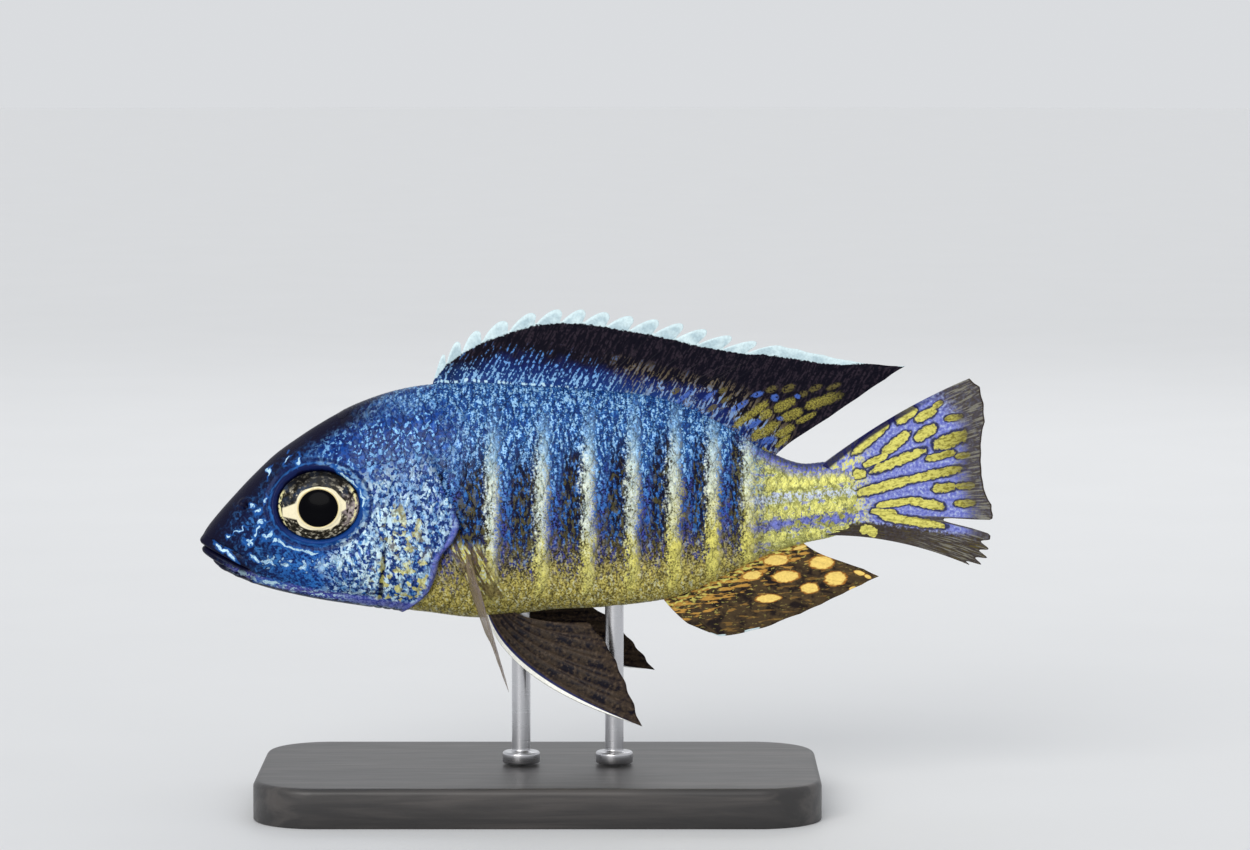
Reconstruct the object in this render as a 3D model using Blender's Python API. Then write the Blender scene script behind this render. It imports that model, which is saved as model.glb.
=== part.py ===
"""A male peacock cichlid, life size, as a still museum model on a plain display stand.

The fish is built in its own straight frame: X runs from the snout to the tail, Z is up, and its
own left side is -Y. Every point is then bent a little sideways, and the whole fish hangs from one
empty that sets its nose-down pitch over the stand. Sizes are in millimetres, and each mesh is
scaled to metres as it is made. The origin is the centre of the stand's underside, on the floor.
"""

import math

import bmesh
import bpy
import numpy as np
from mathutils import Matrix, Vector

MM = 0.001
GAP = 0.3
TOTAL_LENGTH = 110.0
STANDARD_LENGTH = 91.6
PITCH_DEG = 3.96
SNOUT_ABOVE_FLOOR = 37.0
SNOUT_AHEAD_OF_STAND = 47.0
# Sideways sweep of the body: a parabola about BEND_STATION that reaches TAIL_BEND at the tail tips.
TAIL_BEND = 3.4
BEND_STATION = 42.0

# Each row: distance from the snout, top, bottom, half width, height of the widest point.
BODY = np.array(
    [
        (0.0, 0.2, -0.9, 0.9, -0.4),
        (0.6, 1.5, -2.3, 2.1, -0.4),
        (2.0, 3.1, -4.0, 3.1, -0.3),
        (4.5, 5.6, -5.6, 4.1, 0.0),
        (8.0, 8.8, -7.2, 5.2, 0.6),
        (12.0, 11.8, -8.5, 6.2, 1.3),
        (17.0, 14.9, -9.8, 7.0, 1.6),
        (23.0, 17.6, -11.0, 7.6, 1.2),
        (30.0, 19.3, -12.0, 7.9, 0.6),
        (38.0, 19.5, -13.4, 7.9, 0.4),
        (48.0, 18.4, -13.0, 7.2, 0.6),
        (58.0, 17.0, -13.1, 6.1, 0.8),
        (66.0, 15.2, -12.3, 5.0, 0.8),
        (74.0, 11.0, -9.3, 3.8, 0.4),
        (79.0, 7.3, -7.4, 3.0, -0.1),
        (84.0, 4.9, -6.3, 2.3, -0.6),
        (88.0, 4.8, -5.7, 1.7, -0.4),
        (90.4, 4.3, -4.8, 1.3, -0.3),
        (STANDARD_LENGTH, 3.0, -3.3, 1.0, -0.2),
    ]
)
BACK_PINCH = 1.15
BELLY_PINCH = 0.88
GILL_RISE = 0.5
GILL_RISE_FROM = 19.0
GILL_RISE_TO = 33.0

# The rear edge of the gill cover from the nape to the throat, as (height, distance from the snout).
GILL_EDGE = np.array(
    [
        (-15.0, 23.5),
        (-11.4, 27.9),
        (-9.2, 30.9),
        (-6.5, 32.4),
        (-3.9, 33.3),
        (-1.6, 35.3),
        (0.3, 36.2),
        (2.3, 35.9),
        (5.0, 34.7),
        (12.0, 32.4),
        (22.0, 28.6),
    ]
)
# The front edge of the gill cover, which is the preopercle's margin.
CHEEK_EDGE = np.array([(-15.0, 24.6), (-9.0, 25.0), (-4.0, 25.5), (1.0, 26.3), (8.0, 27.6)])
GILL_COVER_TOP = (8.6, 5.6)
GILL_COVER_FLOOR = 4.4
HEAD_TO = 38.0
TRUNK_FROM = 22.5
TAIL_CUT = 61.5
# Cutting blocks and outlines reach this far past the fish.
BEYOND = 30.0

MOUTH_FRONT = (-1.0, -0.2)
MOUTH_CORNER = (6.8, -4.7)
JAW_HEEL = (10.2, -9.6)
MOUTH_OPENING = 0.45
LIP_RADIUS = 0.62

EYE_CENTRE = (17.0, 3.9)
EYE_LONG = 5.7
EYE_HIGH = 5.2
EYE_PROUD = 1.0
EYE_WALL = 2.4
EYE_DEPTH = 4.6
EYE_FORWARD_DEG = 8.0
EYE_UPWARD_DEG = 7.0
PUPIL_RADIUS = 2.65
PUPIL_PROUD = 0.3
ORBIT_GAP = 0.65
ORBIT_RADIUS = 0.6

NOSTRIL = (6.6, 4.7)
NOSTRIL_RADIUS = 0.45
CHEEK_PORES = ((7.4, -2.5), (9.6, -3.3), (11.9, -3.9), (14.3, -4.2), (16.8, -4.2), (19.2, -3.7))
PORE_RADIUS = 0.5

# Half thicknesses of a fin: its film, what a ray adds to it, its edge, and its fleshy roots.
MEMBRANE = 0.25
RAY_RIDGE = 0.17
FIN_EDGE = 0.17
DORSAL_ROOT_HALF = 0.8
ANAL_ROOT_HALF = 0.7
CAUDAL_ROOT_HALF = 1.0
PAIRED_ROOT_HALF = 0.6
# A fin's sections run at these shares of a ray's length, and of the gap behind each ray.
FIN_ROWS = (0.0, 0.14, 0.34, 0.56, 0.78, 1.0)
SPINY_STEPS = (0.0, 0.16, 0.5, 0.84)
SOFT_STEPS = (0.0, 0.22, 0.78)
SPLIT_STEPS = (0.0, 0.2, 0.5, 0.8)
PELVIC_STEPS = (0.0, 0.2, 0.8)
PECTORAL_STEPS = (0.0, 0.25, 0.75)

DORSAL_ROOT = (33.4, 79.8)
DORSAL_SPINE_STEP = 2.18
DORSAL_SPINE_TIPS = (
    (33.9, 20.1),
    (35.9, 22.3),
    (38.2, 23.7),
    (41.1, 25.0),
    (44.9, 26.1),
    (48.7, 26.9),
    (52.2, 26.9),
    (55.3, 26.6),
    (58.5, 25.9),
    (61.6, 25.1),
    (64.8, 24.3),
    (67.8, 23.4),
    (70.8, 22.4),
    (74.2, 21.5),
    (77.5, 20.7),
)
DORSAL_SOFT_TIPS = (
    (80.4, 20.4),
    (82.2, 21.5),
    (84.6, 20.8),
    (88.2, 19.7),
    (92.0, 18.6),
    (95.8, 17.8),
    (99.5, 17.3),
    (96.6, 15.7),
    (92.6, 13.4),
    (88.3, 10.9),
    (84.2, 8.7),
)
LAPPET_LENGTH = 2.2
SOFT_RAY_CURL_DEG = 9.0
FIN_SINK = 1.3

ANAL_ROOT = (62.9, 82.6)
ANAL_TIPS = (
    (66.8, -16.4),
    (71.1, -18.5),
    (75.6, -18.0),
    (79.4, -17.1),
    (82.6, -16.2),
    (85.6, -15.1),
    (88.6, -13.9),
    (91.4, -12.8),
    (93.9, -11.8),
    (91.8, -10.6),
    (89.0, -9.4),
    (86.0, -8.1),
)

CAUDAL_ROOT_STATION = 91.0
CAUDAL_ROOT_CURVE = 4.0
CAUDAL_ROOT_TOP = 4.4
CAUDAL_ROOT_FOOT = -5.4
# How steeply the first and the last ray leave the tail, as shares of the slope to their tips.
CAUDAL_SPLAY = (1.3, 0.3)
CAUDAL_TIPS = (
    (108.3, 14.9),
    (109.7, 13.6),
    (110.1, 11.2),
    (110.1, 8.7),
    (109.5, 6.6),
    (109.3, 4.3),
    (109.2, 2.1),
    (109.3, 0.2),
    (109.6, -1.5),
    (110.3, -3.0),
    (110.4, -4.5),
    (109.8, -7.8),
    (109.5, -9.2),
    (109.2, -10.4),
    (108.3, -11.3),
    (106.6, -11.2),
)
CAUDAL_SPLIT_AFTER = 10
CAUDAL_SPLIT_TO = 0.66

# Pelvic fins, in the fin's own plane: (back, down) of the ray tips and of the first and last knee.
PELVIC_ROOT = (38.7, 41.6)
PELVIC_ROOT_HEIGHT = -13.2
PELVIC_ROOT_APART = 2.3
PELVIC_TIPS = (
    (15.3, 14.2),
    (20.8, 17.3),
    (19.9, 14.0),
    (18.9, 10.8),
    (17.8, 7.6),
    (16.4, 4.6),
    (14.4, 1.8),
)
PELVIC_KNEES = ((1.6, 9.4), (3.0, 1.6))

PECTORAL_TOP = (36.9, -2.4)
PECTORAL_FOOT = (36.6, -6.6)
PECTORAL_RAYS = 12
PECTORAL_FAN_DEG = 52.0
PECTORAL_LENGTH = 22.5

STAND_LENGTH = 78.0
STAND_WIDTH = 44.0
STAND_THICKNESS = 5.5
STAND_CORNER = 9.0
STAND_BEVEL = 0.9
ROD_RADIUS = 1.3
ROD_STATIONS = (-2.5, 10.5)
COLLAR_RADIUS = 2.6
COLLAR_HEIGHT = 1.6
COLLAR_BEVEL = 0.4
ROD_SIDES = 20

SKIN_BLUE = (0.035, 0.12, 0.36)
GILL_BLUE = (0.06, 0.2, 0.5)
BELLY_OLIVE = (0.3, 0.3, 0.1)
DORSAL_BLACK = (0.02, 0.02, 0.06)
TAIL_YELLOW = (0.45, 0.42, 0.12)
FIN_BROWN = (0.07, 0.05, 0.04)
CLEAR_FIN = (0.35, 0.33, 0.28)
EYE_DARK = (0.02, 0.02, 0.02)
STAND_GREY = (0.12, 0.12, 0.13)
ROD_STEEL = (0.6, 0.6, 0.62)


def smooth(x, knots, values):
    """A smooth curve through the knots, as cubic pieces whose slopes follow their neighbours."""
    slopes = np.gradient(values, knots)
    i = np.clip(np.searchsorted(knots, x) - 1, 0, len(knots) - 2)
    span = knots[i + 1] - knots[i]
    t = np.clip((x - knots[i]) / span, 0.0, 1.0)
    rise = values[i + 1] - values[i]
    a = slopes[i] * span - rise
    b = rise - slopes[i + 1] * span
    return values[i] + t * rise + t * (1 - t) * (a * (1 - t) + b * t)


def body_row(station):
    """(top, bottom, half width, widest level) at a station. The root keeps the snout round."""
    return [smooth(math.sqrt(max(station, 0.0)), np.sqrt(BODY[:, 0]), BODY[:, k]) for k in (1, 2, 3, 4)]


def ramp(x, low, high):
    t = min(max((x - low) / (high - low), 0.0), 1.0)
    return t * t * (3 - 2 * t)


def bend(station):
    return TAIL_BEND * ((station - BEND_STATION) / (TOTAL_LENGTH - BEND_STATION)) ** 2


def place(station, across, height):
    """A point of the straight fish as a bent one, in metres."""
    return Vector((station, across + bend(station), height)) * MM


def ring(station, segments, grow=0.0, gill_rise=0.0):
    """One closed section of the body, from the back down its right side and up its left."""
    top, bottom, half, level = body_row(station)
    half += grow + gill_rise * ramp(station, GILL_RISE_FROM, GILL_RISE_TO)
    points = []
    for k in range(segments):
        angle = 2 * math.pi * k / segments
        up, out = math.cos(angle), math.sin(angle)
        reach = top + grow - level if up > 0 else level - bottom + grow
        pinch = BACK_PINCH if up > 0 else BELLY_PINCH
        across = math.copysign(half * abs(out) ** pinch, out)
        points.append(place(station, across, level + reach * up))
    return points


def flank(station, height, gill_rise=0.0):
    """How far the body's side is from its middle plane at a station and height."""
    top, bottom, half, level = body_row(station)
    half += gill_rise * ramp(station, GILL_RISE_FROM, GILL_RISE_TO)
    reach = top - level if height > level else level - bottom
    pinch = BACK_PINCH if height > level else BELLY_PINCH
    up = min(abs(height - level) / reach, 1.0)
    return half * (1 - up * up) ** (pinch / 2)


def mesh_object(name, vertices, faces):
    """An object from points and faces, split into triangles, with its faces pointing out."""
    mesh = bpy.data.meshes.new(name)
    mesh.from_pydata([tuple(v) for v in vertices], [], faces)
    bm = bmesh.new()
    bm.from_mesh(mesh)
    bmesh.ops.triangulate(bm, faces=[f for f in bm.faces if len(f.verts) > 3])
    bmesh.ops.recalc_face_normals(bm, faces=bm.faces)
    if bm.calc_volume(signed=True) < 0:
        bmesh.ops.reverse_faces(bm, faces=bm.faces)
    bm.to_mesh(mesh)
    bm.free()
    obj = bpy.data.objects.new(name, mesh)
    bpy.context.scene.collection.objects.link(obj)
    return obj


def loft(name, rings):
    """A closed solid through rings of equally many points, with its ends filled to a middle point."""
    count = len(rings[0])
    vertices = [p for points in rings for p in points]
    faces = []
    for i in range(len(rings) - 1):
        for k in range(count):
            a, b = i * count + k, i * count + (k + 1) % count
            faces.append((a, b, b + count, a + count))
    for row in (0, len(rings) - 1):
        middle = len(vertices)
        vertices.append(sum(rings[row], Vector()) / count)
        for k in range(count):
            faces.append((row * count + k, row * count + (k + 1) % count, middle))
    return mesh_object(name, vertices, faces)


def prism(name, outline, sides=(-BEYOND, BEYOND)):
    """A block with this side outline of (station, height), between two upright planes."""
    rows = [[Vector((s, across, h)) * MM for s, h in outline] for across in sides]
    count = len(outline)
    faces = [tuple(range(count)), tuple(range(2 * count - 1, count - 1, -1))]
    faces += [(k, (k + 1) % count, count + (k + 1) % count, count + k) for k in range(count)]
    return mesh_object(name, rows[0] + rows[1], faces)


def boolean(target, operation, *others):
    """Joins or cuts target with the others, keeps the result's largest surface, removes the others."""
    tools = bpy.data.collections.new("tools")
    bpy.context.scene.collection.children.link(tools)
    for other in others:
        tools.objects.link(other)
    modifier = target.modifiers.new(operation.lower(), "BOOLEAN")
    modifier.operation = operation
    if operation == "INTERSECT":
        modifier.object = others[0]
    else:
        modifier.operand_type = "COLLECTION"
        modifier.collection = tools
    bpy.context.view_layer.update()
    graph = bpy.context.evaluated_depsgraph_get()
    made = bpy.data.meshes.new_from_object(target.evaluated_get(graph))
    target.modifiers.clear()
    target.data = made
    for other in others:
        bpy.data.objects.remove(other)
    bpy.data.collections.remove(tools)
    keep_largest(target)
    return target


def keep_largest(obj):
    """Deletes every closed surface of the mesh but the one that holds the most."""
    bm = bmesh.new()
    bm.from_mesh(obj.data)
    bmesh.ops.triangulate(bm, faces=[f for f in bm.faces if len(f.verts) > 3])
    left = set(bm.faces)
    shells = []
    while left:
        shell, queue = set(), [left.pop()]
        while queue:
            face = queue.pop()
            shell.add(face)
            near = {f for edge in face.edges for f in edge.link_faces} & left
            left -= near
            queue.extend(near)
        corners = [[v.co for v in face.verts] for face in shell]
        shells.append((sum(a.dot(b.cross(c)) for a, b, c in corners), shell))
    shells.sort(key=lambda pair: pair[0])
    for _, shell in shells[:-1]:
        bmesh.ops.delete(bm, geom=list(shell), context="FACES")
    bmesh.ops.delete(bm, geom=[v for v in bm.verts if not v.link_faces], context="VERTS")
    bm.to_mesh(obj.data)
    bm.free()


def principled(name, colour, roughness=0.35, metallic=0.0):
    material = bpy.data.materials.get(name) or bpy.data.materials.new(name)
    material.use_nodes = True
    shader = material.node_tree.nodes["Principled BSDF"]
    shader.inputs["Base Color"].default_value = (*colour, 1.0)
    shader.inputs["Roughness"].default_value = roughness
    shader.inputs["Metallic"].default_value = metallic
    return material


def finish(obj, material, parent=None, crease_deg=35.0):
    """Gives a node its material, smooth shading and parent."""
    obj.data.materials.clear()
    obj.data.materials.append(material)
    obj.data.shade_smooth()
    obj.data.set_sharp_from_angle(angle=math.radians(crease_deg))
    obj.parent = parent
    return obj


def spread(low, high, count):
    return [low + (high - low) * k / (count - 1) for k in range(count)]


def body_solid(name, stations, segments, grow=0.0, gill_rise=0.0):
    """A length of the body through sections at these distances from the snout."""
    return loft(name, [ring(s, segments, grow, gill_rise) for s in stations])


def swollen_body():
    """The body grown by the gap, which trims every fin and rod to meet the skin."""
    stations = spread(TRUNK_FROM - 2.5, TAIL_CUT, 19) + spread(TAIL_CUT + 2.0, STANDARD_LENGTH + GAP, 16)
    return body_solid("swollen_body", stations, 36, grow=GAP)


def gill_line(shift=0.0, count=22):
    """The gill cover's rear edge from throat to nape, as (station, height), moved along the fish."""
    heights = spread(GILL_EDGE[0, 0], GILL_EDGE[-1, 0], count)
    return [(float(smooth(h, GILL_EDGE[:, 0], GILL_EDGE[:, 1])) + shift, h) for h in heights]


def cheek_line(shift=0.0, top=8.0, count=9):
    heights = spread(CHEEK_EDGE[0, 0], top, count)
    return [(float(smooth(h, CHEEK_EDGE[:, 0], CHEEK_EDGE[:, 1])) + shift, h) for h in heights]


def cover_block(side, margin):
    """The space of one gill cover: behind the cheek, below its upper edge, outside its floor."""
    front, rear = GILL_COVER_TOP
    outline = cheek_line(-margin, front - 2.0)
    outline += [(27.9 - margin, front - 0.8), (29.0, front + margin)]
    outline += [(HEAD_TO + 7.0, rear + margin), (HEAD_TO + 7.0, GILL_EDGE[0, 0])]
    floor = side * (GILL_COVER_FLOOR - margin)
    return prism("cover_block", outline, sorted((floor, side * BEYOND)))


def behind_gills(shift):
    rear = TOTAL_LENGTH + BEYOND
    return prism("behind_gills", gill_line(shift) + [(rear, BEYOND), (rear, -BEYOND)])


def ahead_of_gills():
    return prism("ahead_of_gills", gill_line() + [(-BEYOND, BEYOND), (-BEYOND, -BEYOND)])


def jaw_block(margin):
    """The space of the lower jaw: under the mouth line and ahead of the jaw's heel."""
    across = margin * 1.2
    ahead = MOUTH_FRONT[0] - 2.0
    outline = [
        (ahead, mouth_height(ahead) + margin),
        (MOUTH_CORNER[0] + across, MOUTH_CORNER[1] + margin),
        (JAW_HEEL[0] + across, JAW_HEEL[1]),
        (JAW_HEEL[0] + across, -BEYOND),
        (-BEYOND, -BEYOND),
        (-BEYOND, mouth_height(ahead) + margin),
    ]
    return prism("jaw_block", outline)


def mouth_height(station):
    share = (station - MOUTH_FRONT[0]) / (MOUTH_CORNER[0] - MOUTH_FRONT[0])
    return MOUTH_FRONT[1] + share * (MOUTH_CORNER[1] - MOUTH_FRONT[1])


def tube(name, path, radii, sides=8):
    """A closed tube with these radii along a path of points in metres."""
    rings = []
    for i, centre in enumerate(path):
        ahead = path[min(i + 1, len(path) - 1)] - path[max(i - 1, 0)]
        level = ahead.cross(Vector((0, 0, 1))).normalized()
        up = level.cross(ahead).normalized()
        turn = [2 * math.pi * k / sides for k in range(sides)]
        rings.append([centre + (level * math.cos(a) + up * math.sin(a)) * radii[i] * MM for a in turn])
    return loft(name, rings)


def lip(name, above):
    """A lip as a tapered roll along the mouth's edge, from one corner round the snout to the other."""
    half_path = []
    for station in (6.3, 5.0, 3.6, 2.3, 1.2, 0.55):
        height = mouth_height(station) + above
        half_path.append((station, flank(station, height) - 0.25, height))
    path = [place(s, -across, h) for s, across, h in half_path]
    path.append(place(0.28, 0.0, mouth_height(0.28) + above))
    path += [place(s, across, h) for s, across, h in reversed(half_path)]
    middle = (len(path) - 1) / 2
    radii = [LIP_RADIUS * (1 - 0.45 * abs(k / middle - 1) ** 2) for k in range(len(path))]
    return tube(name, path, radii)


def orbit_ring(side, sides=6, steps=26):
    """The rim of skin round the eye."""
    rings = []
    for k in range(steps):
        angle = 2 * math.pi * k / steps
        station = EYE_CENTRE[0] + (EYE_LONG + ORBIT_GAP) * math.cos(angle)
        height = EYE_CENTRE[1] + (EYE_HIGH + ORBIT_GAP) * math.sin(angle)
        across = side * (flank(station, height) - 0.15)
        outward = Vector((math.cos(angle), 0.0, math.sin(angle)))
        centre = place(station, across, height)
        turn = [2 * math.pi * j / sides for j in range(sides)]
        offsets = [outward * math.cos(a) + Vector((0.0, side * math.sin(a), 0.0)) for a in turn]
        rings.append([centre + offset * ORBIT_RADIUS * MM for offset in offsets])
    count = len(rings[0])
    faces = []
    for i in range(steps):
        j = (i + 1) % steps
        for k in range(count):
            m = (k + 1) % count
            faces.append((i * count + k, i * count + m, j * count + m, j * count + k))
    return mesh_object("orbit_ring", [p for points in rings for p in points], faces)


def eye_frame(side):
    """(centre, outward, forward, upward) of an eye that looks out, a little ahead and up."""
    forward_turn, upward_turn = math.radians(EYE_FORWARD_DEG), math.radians(EYE_UPWARD_DEG)
    outward = Vector((-math.sin(forward_turn), side * math.cos(forward_turn), math.sin(upward_turn)))
    outward.normalize()
    upward = (Vector((0, 0, 1)) - outward * outward.z).normalized()
    forward = upward.cross(outward)
    centre = place(EYE_CENTRE[0], side * flank(*EYE_CENTRE), EYE_CENTRE[1])
    return centre, outward, forward, upward


def eye_button(name, side, grow, profile, steps):
    """A turned body about the eye's axis: profile holds (share of the radius, height along the axis)."""
    centre, outward, forward, upward = eye_frame(side)
    rings = []
    for share, height in profile:
        long, high = EYE_LONG * share + grow, EYE_HIGH * share + grow
        turn = [2 * math.pi * k / steps for k in range(steps)]
        rings.append(
            [
                centre
                + (outward * height + forward * long * math.cos(a) + upward * high * math.sin(a)) * MM
                for a in turn
            ]
        )
    return loft(name, rings)


def eye(name, side):
    """The eyeball as a domed button in its socket, with the pupil's lens standing proud."""
    pupil = PUPIL_RADIUS / EYE_LONG
    dome = [(share, EYE_PROUD * (1 - share * share)) for share in (0.95, 0.8, pupil + 0.03)]
    lens_rim = EYE_PROUD * (1 - pupil * pupil)
    lens = [(pupil, lens_rim + PUPIL_PROUD * 0.6), (pupil * 0.6, EYE_PROUD * 0.95 + PUPIL_PROUD)]
    profile = [(0.55, -EYE_DEPTH), (0.85, -EYE_DEPTH + 1.0), (1.0, -EYE_WALL), (1.0, -0.25)] + dome + lens
    profile.append((0.12, EYE_PROUD + PUPIL_PROUD))
    return eye_button(name, side, 0.0, profile, 24)


def eye_socket(side):
    profile = [(0.55, -EYE_DEPTH - GAP), (0.85, -EYE_DEPTH + 1.0 - GAP), (1.0, -EYE_WALL), (1.0, 3.0)]
    return eye_button("eye_socket", side, GAP, profile, 24)


def pit(station, height, side, radius):
    """A small round cutter half sunk into the head's side."""
    across = side * (flank(station, height) - 0.25 * radius)
    bm = bmesh.new()
    seat = Matrix.Translation(place(station, across, height))
    bmesh.ops.create_icosphere(bm, subdivisions=1, radius=radius * MM, matrix=seat)
    mesh = bpy.data.meshes.new("pit")
    bm.to_mesh(mesh)
    bm.free()
    obj = bpy.data.objects.new("pit", mesh)
    bpy.context.scene.collection.objects.link(obj)
    return obj


def build_head(pose, skin, gill):
    """The head, its lower jaw and its two gill covers, parted by thin cuts from one whole."""
    stations = [s * s for s in spread(0.0, math.sqrt(HEAD_TO), 25)]
    head = body_solid("head", stations, 40, gill_rise=GILL_RISE)
    rims = [orbit_ring(side) for side in (-1, 1)]
    boolean(head, "UNION", lip("upper_lip", LIP_RADIUS), lip("lower_lip", -LIP_RADIUS), *rims)
    boolean(head, "INTERSECT", ahead_of_gills())

    lower_jaw = copy_of(head, "lower_jaw")
    boolean(lower_jaw, "INTERSECT", jaw_block(0.0))
    boolean(head, "DIFFERENCE", jaw_block(MOUTH_OPENING))
    finish(lower_jaw, skin, pose)

    for side, label in ((-1, "left"), (1, "right")):
        cover = copy_of(head, "gill_cover_" + label)
        boolean(cover, "INTERSECT", cover_block(side, 0.0))
        boolean(head, "DIFFERENCE", cover_block(side, GAP))
        finish(cover, gill, pose)

    dents = []
    for side in (-1, 1):
        dents.append(eye_socket(side))
        dents.append(pit(*NOSTRIL, side, NOSTRIL_RADIUS))
        dents += [pit(station, height, side, PORE_RADIUS) for station, height in CHEEK_PORES]
    boolean(head, "DIFFERENCE", *dents)
    finish(head, skin, pose)


def copy_of(obj, name):
    twin = bpy.data.objects.new(name, obj.data.copy())
    bpy.context.scene.collection.objects.link(twin)
    return twin


def build_body(pose, skin, belly):
    trunk = body_solid("trunk", spread(TRUNK_FROM, TAIL_CUT, 16), 36)
    boolean(trunk, "INTERSECT", behind_gills(GAP * 1.5))
    finish(trunk, belly, pose)
    tail = body_solid("tail", spread(TAIL_CUT + GAP, STANDARD_LENGTH, 16), 32)
    finish(tail, skin, pose)


def build_eyes(pose, material):
    for side, label in ((-1, "left"), (1, "right")):
        finish(eye("eye_" + label, side), material, pose)


class Ray:
    """A fin ray as a curve from its root through the pull of its knee to its tip."""

    def __init__(self, root, knee, tip):
        self.points = np.array([root, knee, tip], float)

    def mixed(self, other, share):
        return Ray(*(self.points * (1 - share) + other.points * share))

    def at(self, share):
        root, knee, tip = self.points
        return root * (1 - share) ** 2 + knee * 2 * share * (1 - share) + tip * share**2


def fin(name, rays, steps, root_half, reach=lambda k, share: 1.0):
    """A fin: a thin sheet whose rays stand out as ridges on both of its faces.

    rays are in order; steps(k) lists the shares of the gap after ray k at which a column runs;
    reach(k, share) says how far that column goes.
    """
    middle, halves = [], []
    for k in range(len(rays)):
        last = k == len(rays) - 1
        for share in (0.0,) if last else steps(k):
            column = rays[k].mixed(rays[min(k + 1, len(rays) - 1)], share)
            ends = reach(k, share)
            ridge = RAY_RIDGE if share == 0.0 else 0.0
            middle.append([column.at(row * ends) for row in FIN_ROWS])
            halves.append([half_thickness(row, root_half, ridge) for row in FIN_ROWS])
    middle, halves = np.array(middle), np.array(halves)
    across = np.cross(np.gradient(middle, axis=0), np.gradient(middle, axis=1))
    across /= np.linalg.norm(across, axis=2, keepdims=True)
    return sheet(name, middle, across * halves[:, :, None])


def half_thickness(row, root_half, ridge):
    """Half of a fin's thickness at a share of a ray's length: thick root, thin edge."""
    flesh = (root_half - MEMBRANE) * max(1 - row / 0.3, 0.0) ** 1.5
    return FIN_EDGE if row == 1.0 else MEMBRANE + flesh + ridge * (1 - 0.5 * row)


def sheet(name, middle, offset):
    """A closed thin solid about a grid of points, split into triangles alike on both faces."""
    columns, rows = middle.shape[:2]
    size = columns * rows
    points = np.concatenate([(middle + offset).reshape(-1, 3), (middle - offset).reshape(-1, 3)])
    faces = []
    for c in range(columns - 1):
        for r in range(rows - 1):
            a, b = c * rows + r, (c + 1) * rows + r
            for one in ((a, b, b + 1), (a, b + 1, a + 1)):
                faces.append(one)
                faces.append(tuple(size + v for v in reversed(one)))
    rim = [c * rows for c in range(columns)]
    rim += [(columns - 1) * rows + r for r in range(1, rows)]
    rim += [c * rows + rows - 1 for c in range(columns - 2, -1, -1)]
    rim += [r for r in range(rows - 2, 0, -1)]
    for a, b in zip(rim, rim[1:] + rim[:1]):
        faces += [(a, size + a, size + b), (a, size + b, b)]
    return mesh_object(name, [place(*p) for p in points], faces)


def in_side_view(root, tip, lean_deg):
    """A ray in the fish's middle plane that leaves its root at this angle above the horizontal."""
    root, tip = np.array([root[0], 0.0, root[1]]), np.array([tip[0], 0.0, tip[1]])
    lean = math.radians(lean_deg)
    half_way = np.array([math.cos(lean), 0.0, math.sin(lean)]) * np.linalg.norm(tip - root) / 2
    return Ray(root, root + half_way, tip)


def slope_deg(root, tip):
    return math.degrees(math.atan2(tip[1] - root[1], tip[0] - root[0]))


def dorsal_rays():
    """The stiff spines, each with its lappet behind it, and then the long, swept soft rays."""
    rays = []
    for k, tip in enumerate(DORSAL_SPINE_TIPS):
        station = DORSAL_ROOT[0] + k * DORSAL_SPINE_STEP
        root = (station, body_row(station)[0] - FIN_SINK)
        rays.append(in_side_view(root, tip, slope_deg(root, tip)))
    first = DORSAL_ROOT[0] + len(DORSAL_SPINE_TIPS) * DORSAL_SPINE_STEP
    step = (DORSAL_ROOT[1] - first) / (len(DORSAL_SOFT_TIPS) - 1)
    for k, tip in enumerate(DORSAL_SOFT_TIPS):
        root = (first + k * step, body_row(first + k * step)[0] - FIN_SINK)
        rays.append(in_side_view(root, tip, slope_deg(root, tip) + SOFT_RAY_CURL_DEG))
    return rays


def build_dorsal_fin(pose, material):
    """The fin along the back, with a lappet of even size leaning back behind each spine."""
    rays = dorsal_rays()
    spines = len(DORSAL_SPINE_TIPS)

    def steps(k):
        return SPINY_STEPS if k < spines else SOFT_STEPS

    def lappet_reach(k, share):
        if k >= spines:
            return 1.0
        ends = rays[k].mixed(rays[k + 1], share)
        length = np.linalg.norm(ends.at(1.0) - ends.at(0.0))
        return 1.0 + LAPPET_LENGTH / length * math.sin(math.pi * share**1.35)

    dorsal = fin("dorsal_fin", rays, steps, DORSAL_ROOT_HALF, lappet_reach)
    finish(boolean(dorsal, "DIFFERENCE", swollen_body()), material, pose)


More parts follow.
